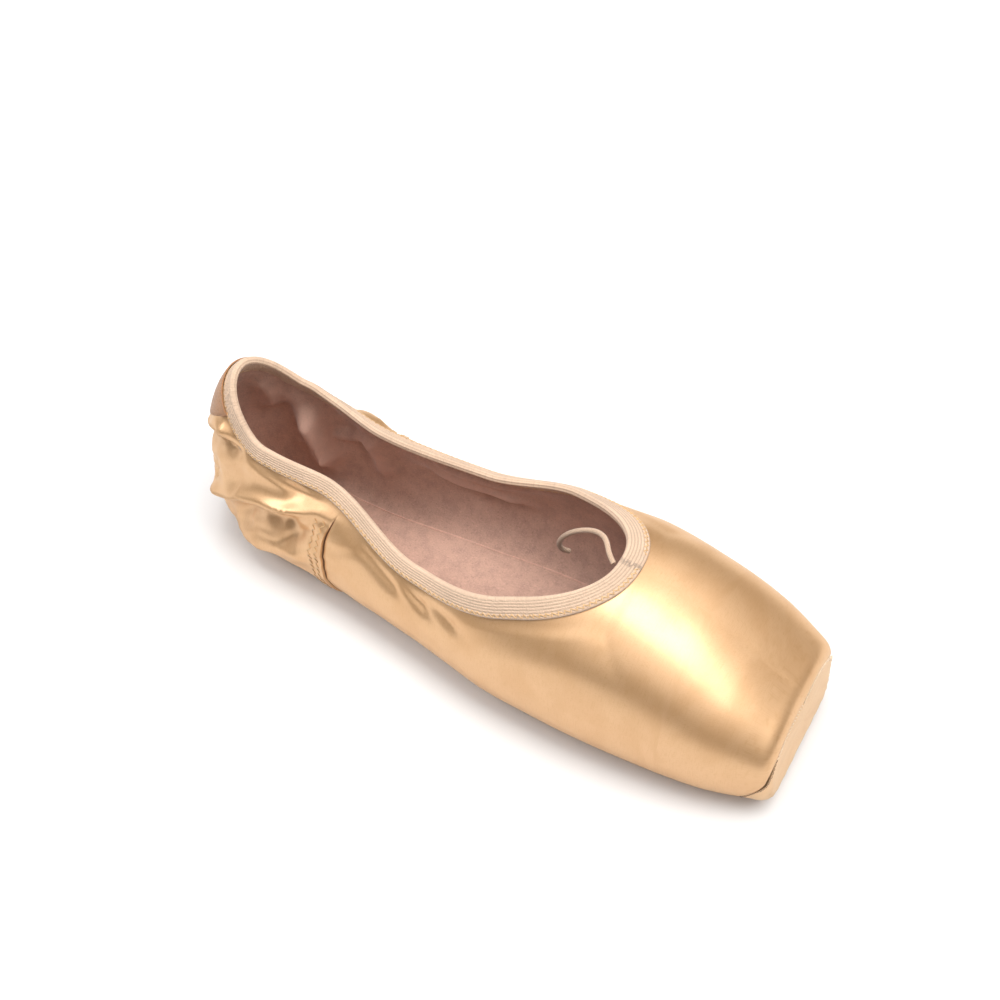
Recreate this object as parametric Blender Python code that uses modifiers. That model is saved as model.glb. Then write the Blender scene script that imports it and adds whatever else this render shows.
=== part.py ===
"""Pointe shoe, built as a shoemaker lays it up: a last gives the inside form,
and every piece is a skin or a solid taken from that one form.

Frame: metres, +X from heel to toe, +Y to the wearer's left, +Z up, floor at Z = 0.
The pieces are modelled with the last's heel at X = 0 and then centred on the origin.
"""

import math

import bpy
import numpy as np

MM = 0.001
TINY = 1e-9
QUARTER_TURN = math.pi / 2
SHOE = "pointe_shoe"

# Last, which is the inside form of the upper
LAST_LENGTH = 233.5 * MM
BALL_WIDTH = 75.0 * MM
INSTEP_HEIGHT = 56.5 * MM
HEEL_HEIGHT = 74.0 * MM
THROAT = 0.718
TOE_LEAN = 0.14
TOE_LEAN_START = 0.84
TOE_LEAN_POWER = 1.5
TOE_EDGE_ROUND = 2.4 * MM
TOE_EDGE_START = math.radians(19)
END_POWER = 2.5

# Upper
BOX_WALL = 2.6 * MM
QUARTER_WALL = 1.5 * MM
MARGIN_WALL = 1.4 * MM
BOX_START = 0.50
BOX_FADE = 0.12
WING_SEAM = 0.293
LAP_HEIGHT = 0.8 * MM
LAP_WIDTH = 14.0 * MM
LAP_BELOW_BINDING = 2.0 * MM
LAP_FADE = 3.0 * MM
BOX_WALL_RISE = 12.0 * MM
MARGIN_START = -0.4
EDGE_STEP = 0.3 * MM

# Sole and insole
SOLE_INSET = 15.0 * MM
SOLE_WIDTH = BALL_WIDTH - 2 * SOLE_INSET
SOLE_THICKNESS = 2.4 * MM
SOLE_FRONT = 0.86
SOLE_FRONT_ROUND = 20.0 * MM
SOLE_EDGE_ROUND = 0.5 * MM
INSOLE_THICKNESS = 1.5 * MM
INSOLE_FRONT = 0.955
INSOLE_FRONT_ROUND = 14.0 * MM
ARCH_LIFT = 2.0 * MM
ARCH_START = 0.18
ARCH_END = 0.60
TOE_SPRING = 3.8 * MM
SPRING_START = 0.80

# Pieces sewn on
PIECE_GAP = 0.3 * MM
BINDING_WIDTH = 6.4 * MM
BINDING_INSIDE = 9.0 * MM
BINDING_THICKNESS = 0.9 * MM
BINDING_GAP = 0.4 * MM
PANEL_THICKNESS = 0.9 * MM
PANEL_DEPTH_BELOW = 5.0 * MM
PANEL_DEPTH_ABOVE = 1.8 * MM
WALL_UNDER_PANEL = BOX_WALL - PANEL_THICKNESS - 2 * PIECE_GAP
PATCH_WIDTH = 28.0 * MM
PATCH_DROP = 21.0 * MM
PATCH_TAPER = 0.5
PATCH_THICKNESS = 0.8 * MM
CORD_DIAMETER = 1.8 * MM

# Fineness of the facets
HEEL_STEPS = 8
QUARTER_STEPS = 4
SIDE_STEPS = 13
VAMP_STEPS = 3
FRONT_STEPS = 4
TOE_STEPS = 3
MARGIN_COLUMNS = 2
CORNER_COLUMNS = 4
WALL_COLUMNS = 8
ROUND_RINGS = 3
FACE_RINGS = (0.6, 0.25)
BINDING_ROWS = 3
RIM_ROWS = 4
PATCH_ROWS = 4
PATCH_COLUMNS = 6
FLAT_COLUMNS = 3
INSOLE_STEPS = 9
MARCH_STEP = 1.0 * MM
SLOPE_NUDGE = 0.05 * MM
FORM_STEPS = 5
WELD_DISTANCE = 0.01 * MM
MIRROR_DISTANCE = 0.02 * MM
SHARP_ANGLE = math.radians(50)

# One row for each section of the last. The columns are shares:
# along of LAST_LENGTH, half and flat of half the BALL_WIDTH, sole of half the SOLE_WIDTH,
# widest of INSTEP_HEIGHT over the sole. The top over the sole is a share of HEEL_HEIGHT and
# one of INSTEP_HEIGHT, added. Low and high are the squareness of the section below and above
# its widest level.
COLUMNS = ("along", "half", "flat", "sole", "widest", "heel_top", "instep_top", "low", "high")
SECTIONS = [
    (0.00, 0.96, 0.630, 0.92, 0.31, 1.084, 0.000, 2.1, 2.15),
    (0.12, 0.66, 0.460, 0.71, 0.31, 0.920, 0.000, 2.1, 2.05),
    (0.27, 0.75, 0.430, 0.57, 0.31, 0.706, 0.000, 2.0, 2.10),
    (0.44, 0.88, 0.520, 0.54, 0.31, 0.000, 0.795, 2.0, 2.20),
    (0.59, 0.99, 0.640, 0.90, 0.31, 0.000, 0.980, 2.0, 2.25),
    (0.71, 1.00, 0.655, 1.00, 0.31, 0.000, 1.000, 2.0, 2.30),
    (0.83, 0.95, 0.630, 0.96, 0.31, 0.000, 0.885, 2.1, 2.40),
    (0.92, 0.87, 0.600, 0.90, 0.31, 0.000, 0.725, 2.2, 2.60),
    (1.00, 0.70, 0.500, 0.75, 0.31, 0.000, 0.535, 2.4, 2.80),
]

# The collar edge's height over the floor, as shares of HEEL_HEIGHT, at shares of LAST_LENGTH.
# It ends where it meets the last's top line at the throat.
COLLAR_LINE = [(0.00, 1.00), (0.12, 0.79), (0.27, 0.686), (0.44, 0.547), (0.62, 0.695)]

# The drawstring's route in millimetres, X from the heel, from the throat to its loose end
CORD_ROUTE = [
    (165.6, -1.8, 59.6),
    (162.8, 0.4, 60.6),
    (160.0, 3.8, 61.2),
    (156.5, 6.4, 60.2),
    (151.5, 7.6, 57.6),
    (146.7, 7.4, 54.2),
    (143.0, 6.8, 50.0),
    (141.3, 6.8, 45.5),
    (141.6, 8.0, 41.2),
    (143.4, 10.2, 38.4),
]
CORD_POINTS = 24

# Colours as linear red, green, blue, each with its roughness
PEACH_SATIN = ((0.82, 0.53, 0.30), 0.35)
PALE_SATIN = ((0.84, 0.60, 0.38), 0.35)
RIBBED_ELASTIC = ((0.75, 0.52, 0.38), 0.8)
TAN_SUEDE = ((0.50, 0.27, 0.15), 0.9)
BUFF_LEATHER = ((0.55, 0.36, 0.22), 0.7)
MAUVE_SUEDE = ((0.30, 0.16, 0.13), 0.9)
CORD_COTTON = ((0.72, 0.50, 0.38), 0.8)


def ease(value):
    """From 0 to 1 with a soft start and end."""
    value = np.clip(value, 0, 1)
    return value * value * (3 - 2 * value)


def smooth_curve(stations, values, at):
    """A smooth curve through the values that never overshoots them."""
    stations, values = np.asarray(stations, float), np.asarray(values, float)
    step = np.diff(stations)
    slope = np.diff(values) / step
    tangent = np.zeros_like(values)
    for k in range(1, len(values) - 1):
        if slope[k - 1] * slope[k] > 0:
            before, after = 2 * step[k] + step[k - 1], step[k] + 2 * step[k - 1]
            tangent[k] = (before + after) / (before / slope[k - 1] + after / slope[k])
    tangent[-1] = slope[-1]
    at = np.clip(at, stations[0], stations[-1])
    k = np.clip(np.searchsorted(stations, at) - 1, 0, len(step) - 1)
    t = (at - stations[k]) / step[k]
    return (
        (1 + 2 * t) * (1 - t) ** 2 * values[k]
        + t * (1 - t) ** 2 * step[k] * tangent[k]
        + t * t * (3 - 2 * t) * values[k + 1]
        + t * t * (t - 1) * step[k] * tangent[k + 1]
    )


def natural_curve(stations, values, at):
    """A curve through the values with even bending, as a cord takes."""
    count, step = len(stations), np.diff(stations)
    matrix, right = np.eye(count), np.zeros(count)
    for k in range(1, count - 1):
        matrix[k, k - 1 : k + 2] = step[k - 1], 2 * (step[k - 1] + step[k]), step[k]
        slopes = np.diff(values[k - 1 : k + 2]) / step[k - 1 : k + 1]
        right[k] = 6 * (slopes[1] - slopes[0])
    bend = np.linalg.solve(matrix, right)
    k = np.clip(np.searchsorted(stations, at) - 1, 0, count - 2)
    a, b, h = stations[k + 1] - at, at - stations[k], step[k]
    ends = values[k] / h - bend[k] * h / 6, values[k + 1] / h - bend[k + 1] * h / 6
    return bend[k] * a**3 / (6 * h) + bend[k + 1] * b**3 / (6 * h) + ends[0] * a + ends[1] * b


def column(name):
    return np.array([row[COLUMNS.index(name)] for row in SECTIONS])


def section(name, walk):
    """One column of the sections, where walk is the way in metres from the heel to the toe."""
    return smooth_curve(column("along"), column(name), np.asarray(walk) / LAST_LENGTH)


def half_width(walk):
    return section("half", walk) * BALL_WIDTH / 2


def flat_half_width(walk):
    """Half the flat underside, out to the feather edge where the wall turns up."""
    return section("flat", walk) * BALL_WIDTH / 2


def seat_height(walk):
    """The last's flat underside, level with the top of the sole: flat at heel and forefoot."""
    share = np.asarray(walk) / LAST_LENGTH
    arch = np.sin(np.clip((share - ARCH_START) / (ARCH_END - ARCH_START), 0, 1) * math.pi) ** 2
    spring = np.clip((share - SPRING_START) / (1 - SPRING_START), 0, 1) ** 2
    return SOLE_THICKNESS + ARCH_LIFT * arch + TOE_SPRING * spring


def widest_height(walk):
    return SOLE_THICKNESS + section("widest", walk) * INSTEP_HEIGHT


def top_height(walk):
    heights = column("heel_top") * HEEL_HEIGHT + column("instep_top") * INSTEP_HEIGHT
    return SOLE_THICKNESS + smooth_curve(
        column("along"), heights, np.asarray(walk) / LAST_LENGTH
    )


def rounded_end(half, walk, end, rounding):
    """Half a width that closes in a round end."""
    share = np.clip((walk - end + rounding) / rounding, 0, 1)
    return half * np.sqrt(1 - share**END_POWER)


def sole_half_width(walk):
    half = section("sole", walk) * SOLE_WIDTH / 2
    return rounded_end(half, walk, SOLE_FRONT * LAST_LENGTH, SOLE_FRONT_ROUND)


def insole_half_width(walk):
    half = flat_half_width(walk) - PIECE_GAP
    return rounded_end(half, walk, INSOLE_FRONT * LAST_LENGTH, INSOLE_FRONT_ROUND)


def collar_height(walk):
    throat = THROAT * LAST_LENGTH
    stations = [share * LAST_LENGTH for share, _ in COLLAR_LINE] + [throat]
    heights = [share * HEEL_HEIGHT for _, share in COLLAR_LINE] + [float(top_height(throat))]
    return smooth_curve(stations, heights, walk)


def level_at(walk, up):
    """The rib's level at a height above the widest one."""
    widest, top = widest_height(walk), top_height(walk)
    share = np.clip((up - widest) / (top - widest), 0, 1)
    return np.arcsin(share ** (section("high", walk) / 2)) / QUARTER_TURN


def collar_level(walk):
    """The rib's level at the collar, or 1 where the vamp closes over the top."""
    level = level_at(walk, collar_height(walk))
    return np.where(walk < THROAT * LAST_LENGTH - TINY, level, 1.0)


def rib(walk, level):
    """How far out and how high a rib of the last is at a level.

    Levels run from -2 at the sole's centre line over -1 at the feather edge and
    0 at the widest height to 1 at the top centre line.
    """
    walk, level = np.broadcast_arrays(np.asarray(walk, float), np.asarray(level, float))
    half, flat = half_width(walk), flat_half_width(walk)
    seat, widest, top = seat_height(walk), widest_height(walk), top_height(walk)
    low, high = section("low", walk), section("high", walk)
    corner = np.clip(level + 1, 0, 1) * QUARTER_TURN
    rise = np.clip(level, 0, 1) * QUARTER_TURN
    out_low = flat * np.clip(level + 2, 0, 1) + (half - flat) * np.sin(corner) ** (2 / low)
    up_low = widest - (widest - seat) * np.abs(np.cos(corner)) ** (2 / low)
    out_high = half * np.clip(np.cos(rise), 0, 1) ** (2 / high)
    up_high = widest + (top - widest) * np.sin(rise) ** (2 / high)
    out = np.where(level < 0, out_low, out_high)
    out = np.where((level > 1 - TINY) | (level < -2 + TINY), 0.0, out)
    return out, np.where(level < 0, up_low, up_high)


def heel_pivot():
    """The ribs fan out round this distance from the heel, and run straight across beyond it."""
    return float(half_width(0.0))


def toe_lean(walk):
    share = (walk / LAST_LENGTH - TOE_LEAN_START) / (1 - TOE_LEAN_START)
    return TOE_LEAN * np.clip(share, 0, 1) ** TOE_LEAN_POWER


def place(walk, out, up):
    """A rib's point in the shoe's frame, on the wearer's left side."""
    walk, out, up = np.broadcast_arrays(walk, out, up)
    turn = np.clip(walk / heel_pivot(), 0, 1) * QUARTER_TURN
    forward = np.where(walk < heel_pivot(), heel_pivot() - out * np.cos(turn), walk)
    forward = forward - toe_lean(walk) * (up - widest_height(walk))
    side = np.where(walk > TINY, out * np.sin(turn), 0.0)
    return np.stack([forward, side, up], -1)


def walk_and_out(point):
    """Which rib a point lies on behind the toe, and how far out along it."""
    forward, side, _ = np.moveaxis(point, -1, 0)
    behind = np.maximum(heel_pivot() - forward, 0)
    turn = np.arctan2(np.abs(side), np.maximum(behind, TINY))
    walk = np.where(behind > 0, turn / QUARTER_TURN * heel_pivot(), forward)
    return walk, np.hypot(behind, side)


def form_value(point):
    """Above its widest level the last is where this is zero, and its inside is negative."""
    walk, out = walk_and_out(point)
    widest, top = widest_height(walk), top_height(walk)
    power = section("high", walk)
    rise = np.maximum(point[..., 2] - widest, 0) / (top - widest)
    return (out / half_width(walk)) ** power + rise**power - 1


def form_slope(point):
    slope = [form_value(point + d) - form_value(point - d) for d in np.eye(3) * SLOPE_NUDGE]
    return np.stack(slope, -1) / (2 * SLOPE_NUDGE)


def form_normal(point):
    slope = form_slope(point)
    return slope / np.linalg.norm(slope, axis=-1, keepdims=True)


def onto_form(point):
    """The point moved straight in or out onto the last."""
    for _ in range(FORM_STEPS):
        slope = form_slope(point)
        point = point - slope * (form_value(point) / (slope**2).sum(-1))[..., None]
    return point


def rows_from_collar(walks, distances):
    """Rows of points on the last at these distances from the collar's edge.

    Each row comes with the last's normals there and with the way on from the edge.
    """
    out, up = rib(walks, collar_level(walks))
    edge = place(walks, out, up)
    mirrored = edge * (1, -1, 1)
    loop = np.concatenate([mirrored[1:2], edge, mirrored[-2:-1]])
    along = loop[2:] - loop[:-2]
    point, done = edge, 0.0
    normal = form_normal(point)
    away = np.cross(normal, along)
    rows = []
    for distance in distances:
        strides = max(1, round((distance - done) / MARCH_STEP))
        for _ in range(strides):
            away = away - (away * normal).sum(-1, keepdims=True) * normal
            away = away / np.linalg.norm(away, axis=-1, keepdims=True)
            point = onto_form(point + away * (distance - done) / strides)
            normal = form_normal(point)
        done = distance
        rows.append((point, normal, away))
    return rows


def wall_thickness(walk, level, up):
    """The upper's wall: thin at collar and quarters, stiff round the box, lapped at the seam."""
    throat, seam = THROAT * LAST_LENGTH, WING_SEAM * LAST_LENGTH
    below = np.maximum(collar_height(walk) - up, walk - throat) - BINDING_WIDTH
    clear = ease((below - LAP_BELOW_BINDING) / LAP_FADE)
    box = ease((walk / LAST_LENGTH - BOX_START) / BOX_FADE) * ease(below / BOX_WALL_RISE)
    lap = np.where(walk < seam, ease((walk - seam + LAP_WIDTH) / LAP_WIDTH), 0.0) * clear
    wall = QUARTER_WALL + (BOX_WALL - QUARTER_WALL) * box + LAP_HEIGHT * lap
    margin = ease((MARGIN_START - level) / (MARGIN_START + 1))
    return wall + (MARGIN_WALL - wall) * margin


def steps(start, end, count):
    return list(np.linspace(start, end, count + 1)[1:])


def slowing_steps(start, end, count):
    """Steps that get shorter towards the end, where an outline closes in a round."""
    turn = np.linspace(0, QUARTER_TURN, count + 1)[1:]
    return list(start + (end - start) * np.sin(turn))


def heel_walks():
    return [0.0] + steps(0.0, heel_pivot(), HEEL_STEPS)


def upper_walks():
    """The ribs' places from the heel to the last rib before the toe panel."""
    seam, throat = WING_SEAM * LAST_LENGTH, THROAT * LAST_LENGTH
    front, toe = SOLE_FRONT * LAST_LENGTH, LAST_LENGTH - PANEL_DEPTH_BELOW
    walks = heel_walks()
    walks += steps(walks[-1], seam - EDGE_STEP / 2, QUARTER_STEPS)
    walks += [seam + EDGE_STEP / 2]
    walks += slowing_steps(walks[-1], throat, SIDE_STEPS)
    walks += steps(throat, front - SOLE_FRONT_ROUND / 2, VAMP_STEPS)
    walks += slowing_steps(walks[-1], front, FRONT_STEPS)
    walks += steps(front, toe, TOE_STEPS + 1)[:-1]
    return np.array(walks)


def rib_levels(walk):
    """A rib's levels from the sole's opening, or the centre line, up to the collar."""
    opening = float(sole_half_width(walk) / flat_half_width(walk)) - 2
    return np.array(
        [opening]
        + steps(opening, -1, MARGIN_COLUMNS)
        + steps(-1, 0, CORNER_COLUMNS)
        + steps(0, float(collar_level(walk)), WALL_COLUMNS)
    )


def panel_edge(levels):
    """Where the toe panel's seam runs: deep at the bottom, near the face at the top."""
    share = ease(levels + 1)
    return LAST_LENGTH - PANEL_DEPTH_BELOW + (PANEL_DEPTH_BELOW - PANEL_DEPTH_ABOVE) * share


def toe_rings(levels, start):
    """Rings from the panel's seam over the toe's rounded edge to its flat face's middle."""
    edge = panel_edge(levels) + start
    out, up = rib(edge, levels)
    centre = widest_height(LAST_LENGTH)
    reach = np.hypot(out, up - centre)
    rings = []
    start_sine, start_cosine = math.sin(TOE_EDGE_START), math.cos(TOE_EDGE_START)
    for turn in np.linspace(TOE_EDGE_START, QUARTER_TURN, ROUND_RINGS + 1):
        share = (math.sin(turn) - start_sine) / (1 - start_sine)
        inset = 1 - TOE_EDGE_ROUND * (start_cosine - math.cos(turn)) / reach
        walk = edge + (LAST_LENGTH - edge) * share
        rings.append(face_point(walk, out * inset, centre + (up - centre) * inset))
    for share in FACE_RINGS:
        rings.append(
            face_point(LAST_LENGTH, out * inset * share, centre + (up - centre) * inset * share)
        )
    return rings


def face_point(walk, out, up):
    """A point of the toe's end, where the whole section leans as one."""
    walk, out, up = np.broadcast_arrays(walk, out, up)
    forward = walk - TOE_LEAN * (up - widest_height(LAST_LENGTH))
    return np.stack([forward, out, up], -1)


def piece(name, points, faces, weights=None):
    mesh = bpy.data.meshes.new(name)
    mesh.from_pydata([tuple(point) for point in points], [], faces)
    mesh.validate()
    thing = bpy.data.objects.new(name, mesh)
    bpy.data.collections[SHOE].objects.link(thing)
    if weights is not None:
        group = thing.vertex_groups.new(name="thickness")
        for index, weight in enumerate(weights):
            group.add([index], float(weight), "REPLACE")
    return thing


def skin(name, grid, weights=None, middle=None, closed=False):
    """A half surface through rows of points, facing outwards.

    Closed joins each row's last point to its first, and middle closes the last row to a point.
    """
    grid = np.asarray(grid, float)
    rows, columns = grid.shape[:2]
    points = list(grid.reshape(-1, 3))
    spans = [(c, (c + 1) % columns) for c in range(columns if closed else columns - 1)]
    faces = []
    for row in range(rows - 1):
        this, following = row * columns, (row + 1) * columns
        faces += [(this + a, this + b, following + b, following + a) for a, b in spans]
    if middle is not None:
        last = (rows - 1) * columns
        faces += [(last + a, last + b, len(points)) for a, b in spans]
        points.append(middle)
    return piece(name, points, faces, weights)


def weld(thing):
    modifier = thing.modifiers.new("weld", "WELD")
    modifier.merge_threshold = WELD_DISTANCE


def mirror(thing):
    modifier = thing.modifiers.new("other half", "MIRROR")
    modifier.use_axis = (False, True, False)
    modifier.use_clip = True
    modifier.merge_threshold = MIRROR_DISTANCE


def push_out(thing, distance):
    modifier = thing.modifiers.new("off the last", "DISPLACE")
    modifier.direction = "NORMAL"
    modifier.mid_level = 0.0
    modifier.strength = distance


def thicken(thing, thickness, offset=1, group=""):
    modifier = thing.modifiers.new("wall", "SOLIDIFY")
    modifier.thickness = thickness
    modifier.offset = offset
    modifier.use_even_offset = True
    modifier.vertex_group = group


def round_edges(thing, width):
    modifier = thing.modifiers.new("rounded edges", "BEVEL")
    modifier.width = width
    modifier.segments = 1
    modifier.limit_method = "ANGLE"
    modifier.angle_limit = SHARP_ANGLE


def finish(thing, look):
    colour, roughness = look
    material = bpy.data.materials.new(thing.name)
    material.use_nodes = True
    shader = material.node_tree.nodes["Principled BSDF"]
    shader.inputs["Base Color"].default_value = (*colour, 1)
    shader.inputs["Roughness"].default_value = roughness
    shader.inputs["Metallic"].default_value = 0.0
    thing.data.materials.append(material)
    return thing


def make_upper():
    """One hollow wall, open at the collar and at the sole, closed over the toe."""
    grid, walls = [], []
    for walk in upper_walks():
        levels = rib_levels(walk)
        out, up = rib(walk, levels)
        grid.append(place(walk, out, up))
        walls.append(wall_thickness(walk, levels, up))
    levels = rib_levels(LAST_LENGTH)
    before_panel = panel_edge(levels) - EDGE_STEP
    out, up = rib(before_panel, levels)
    grid.append(face_point(before_panel, out, up))
    walls.append(wall_thickness(before_panel, levels, up))
    for ring in toe_rings(levels, 0.0):
        grid.append(ring)
        walls.append(np.full(len(levels), WALL_UNDER_PANEL))
    middle = face_point(LAST_LENGTH, 0.0, widest_height(LAST_LENGTH))
    weights = np.append(np.concatenate(walls), WALL_UNDER_PANEL) / BOX_WALL
    upper = skin("upper", grid, weights, middle)
    mirror(upper)
    thicken(upper, BOX_WALL, group="thickness")
    return finish(upper, PEACH_SATIN)


def make_toe_panel():
    """The satin over the flat toe, laid into a step of the upper's wall."""
    rings = toe_rings(rib_levels(LAST_LENGTH), EDGE_STEP)
    middle = face_point(LAST_LENGTH, 0.0, widest_height(LAST_LENGTH))
    panel = skin("toe_panel", rings, middle=middle)
    mirror(panel)
    push_out(panel, WALL_UNDER_PANEL + PIECE_GAP)
    thicken(panel, PANEL_THICKNESS)
    return finish(panel, PALE_SATIN)


def inset_outline(walks, half, gap):
    """A foot outline's plan points, from the heel to the tip, moved inwards by a gap."""
    edge = place(walks, half(walks), 0.0)[:, :2]
    before, after = edge[1] * (1, -1), edge[-2] * (1, -1)
    loop = np.concatenate([[before], edge, [after]])
    along = loop[2:] - loop[:-2]
    along /= np.linalg.norm(along, axis=1, keepdims=True)
    return edge + gap * np.stack([along[:, 1], -along[:, 0]], 1)


def flat_piece(name, walks, outline, heights):
    """A half sheet under the foot, from the centre line or the heel's pivot out to its edge."""
    grid = []
    for walk, edge, height in zip(walks, outline, heights):
        centre = (max(heel_pivot(), edge[0]), 0.0)
        shares = np.linspace(0, 1, FLAT_COLUMNS + 1)[:, None]
        plan = centre + (edge - centre) * shares
        grid.append(np.column_stack([plan, np.full(len(plan), height)]))
    sheet = skin(name, grid)
    weld(sheet)
    mirror(sheet)
    return sheet


def make_outsole():
    """The leather sole, which fills the upper's opening and stands proud of its margin."""
    walks = upper_walks()
    walks = walks[walks <= SOLE_FRONT * LAST_LENGTH + TINY]
    outline = inset_outline(walks, sole_half_width, PIECE_GAP)
    sole = flat_piece("outsole", walks, outline, seat_height(walks))
    thicken(sole, SOLE_THICKNESS)
    round_edges(sole, SOLE_EDGE_ROUND)
    return finish(sole, BUFF_LEATHER)


def make_insole():
    front = INSOLE_FRONT * LAST_LENGTH
    walks = heel_walks()
    walks += steps(walks[-1], front - INSOLE_FRONT_ROUND, INSOLE_STEPS)
    walks = np.array(walks + slowing_steps(walks[-1], front, FRONT_STEPS))
    outline = inset_outline(walks, insole_half_width, PIECE_GAP)
    sheet = flat_piece("insole", walks, outline, seat_height(walks) + PIECE_GAP)
    thicken(sheet, INSOLE_THICKNESS, offset=-1)
    return finish(sheet, MAUVE_SUEDE)


def make_collar_binding():
    """A ribbed band folded over the collar's edge, as a closed ring with a U section."""
    walks = upper_walks()
    walks = walks[walks <= THROAT * LAST_LENGTH + TINY]
    outside = rows_from_collar(walks, np.linspace(0, BINDING_WIDTH, BINDING_ROWS + 1))
    inside = rows_from_collar(walks, np.linspace(0, BINDING_INSIDE, BINDING_ROWS + 1))
    edge, normal, away = outside[0]
    near, far = QUARTER_WALL + BINDING_GAP, QUARTER_WALL + BINDING_GAP + BINDING_THICKNESS
    rows = [point + facing * near for point, facing, _ in outside[:0:-1]]
    rows += [edge + normal * near - away * BINDING_GAP, edge - (normal + away) * BINDING_GAP]
    rows += [point - facing * BINDING_GAP for point, facing, _ in inside[1:]]
    depth = BINDING_GAP + BINDING_THICKNESS
    rows += [point - facing * depth for point, facing, _ in inside[:0:-1]]
    for turn in np.linspace(math.pi, 0, RIM_ROWS + 1):
        across = QUARTER_WALL / 2 + (QUARTER_WALL / 2 + depth) * math.cos(turn)
        rows.append(edge + normal * across - away * depth * math.sin(turn))
    rows += [point + facing * far for point, facing, _ in outside[1:]]
    grid = np.stack(rows[::-1], 1)
    grid[[0, -1], :, 1] = 0.0
    binding = skin("collar_binding", grid, closed=True)
    mirror(binding)
    return finish(binding, RIBBED_ELASTIC)


def make_heel_patch():
    """The suede patch on the back of the heel, just under the binding."""
    heel = np.array(heel_walks())
    seam = rows_from_collar(heel, [BINDING_WIDTH + PIECE_GAP])[0][0]
    back_radius = rib(0.0, collar_level(0.0))[0] + QUARTER_WALL
    side = PATCH_WIDTH / 2 / back_radius / QUARTER_TURN * heel_pivot()
    walks = np.linspace(0, side, PATCH_COLUMNS + 1)
    top = np.interp(walks, walk_and_out(seam)[0], seam[:, 2])
    grid = []
    for share in np.linspace(0, 1, PATCH_ROWS + 1):
        columns = walks * (1 - PATCH_TAPER * share)
        height = top * (1 - share) + (top[0] - PATCH_DROP) * share
        out, up = rib(columns, level_at(columns, height))
        point = place(columns, out, up)
        grid.append(point + form_normal(point) * (QUARTER_WALL + PIECE_GAP))
        grid[-1][0, 1] = 0.0
    patch = skin("heel_patch", grid)
    mirror(patch)
    thicken(patch, PATCH_THICKNESS)
    return finish(patch, TAN_SUEDE)


def make_drawstring():
    """The loose end of the drawstring, which comes out of the binding at the throat."""
    route = np.array(CORD_ROUTE) * MM
    run = np.append(0.0, np.cumsum(np.linalg.norm(np.diff(route, axis=0), axis=1)))
    at = np.linspace(0, run[-1], CORD_POINTS)
    points = np.stack([natural_curve(run, route[:, axis], at) for axis in range(3)], 1)
    curve = bpy.data.curves.new("drawstring", "CURVE")
    curve.dimensions = "3D"
    curve.bevel_depth = CORD_DIAMETER / 2
    curve.bevel_resolution = 2
    curve.use_fill_caps = True
    line = curve.splines.new("POLY")
    line.points.add(len(points) - 1)
    for knot, point in zip(line.points, points):
        knot.co = (*point, 1)
    cord = bpy.data.objects.new("drawstring", curve)
    bpy.data.collections[SHOE].objects.link(cord)
    return finish(cord, CORD_COTTON)


def centre_on_floor(things):
    """Moves everything so that the origin is under the middle of the shoe."""
    bpy.context.view_layer.update()
    ends = [corner[0] for thing in things if thing.type == "MESH" for corner in thing.bound_box]
    for thing in things:
        thing.location.x = -(min(ends) + max(ends)) / 2


def main():
    for thing in list(bpy.data.objects):
        bpy.data.objects.remove(thing, do_unlink=True)
    bpy.context.scene.collection.children.link(bpy.data.collections.new(SHOE))
    makers = [
        make_upper,
        make_outsole,
        make_insole,
        make_collar_binding,
        make_toe_panel,
        make_heel_patch,
        make_drawstring,
    ]
    centre_on_floor([make() for make in makers])


main()
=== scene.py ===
"""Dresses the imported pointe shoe: a satin upper with its folds, a ribbed binding on the
collar, a suede lining, stitched seams and a leather sole, on a pale floor in soft light.

Everything is in metres in the shoe's own frame: +X from heel to toe, +Z up, floor at Z = 0.
"""

import math

import bpy
import numpy as np
from mathutils import Matrix, Vector, noise


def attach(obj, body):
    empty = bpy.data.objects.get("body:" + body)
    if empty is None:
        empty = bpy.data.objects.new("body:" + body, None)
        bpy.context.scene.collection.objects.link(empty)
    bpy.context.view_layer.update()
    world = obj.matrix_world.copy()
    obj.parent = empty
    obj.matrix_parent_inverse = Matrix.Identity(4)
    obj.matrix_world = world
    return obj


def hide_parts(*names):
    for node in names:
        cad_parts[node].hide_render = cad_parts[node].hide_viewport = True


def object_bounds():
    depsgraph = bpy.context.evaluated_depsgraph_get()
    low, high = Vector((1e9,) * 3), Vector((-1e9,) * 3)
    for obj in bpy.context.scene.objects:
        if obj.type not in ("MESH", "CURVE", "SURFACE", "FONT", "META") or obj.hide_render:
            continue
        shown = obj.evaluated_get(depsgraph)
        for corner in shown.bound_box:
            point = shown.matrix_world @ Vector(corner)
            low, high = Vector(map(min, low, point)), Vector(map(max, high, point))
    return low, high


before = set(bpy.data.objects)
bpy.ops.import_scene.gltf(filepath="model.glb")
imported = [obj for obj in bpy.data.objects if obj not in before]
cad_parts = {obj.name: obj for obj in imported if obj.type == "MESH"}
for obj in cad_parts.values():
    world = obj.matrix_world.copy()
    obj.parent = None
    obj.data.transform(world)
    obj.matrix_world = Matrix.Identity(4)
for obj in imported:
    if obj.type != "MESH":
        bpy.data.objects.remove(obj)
CAD_LOW, CAD_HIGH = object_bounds()

bl_info = {
    "name": "Pointe Shoe",
    "version": (1, 0, 0),
    "blender": (4, 5, 0),
    "location": "View3D > Sidebar > Pointe Shoe",
    "description": "Dresses a pointe shoe in satin, suede and ribbed elastic",
    "category": "Object",
}

MM = 0.001
TINY = 1e-9
QUARTER_TURN = math.pi / 2

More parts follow.
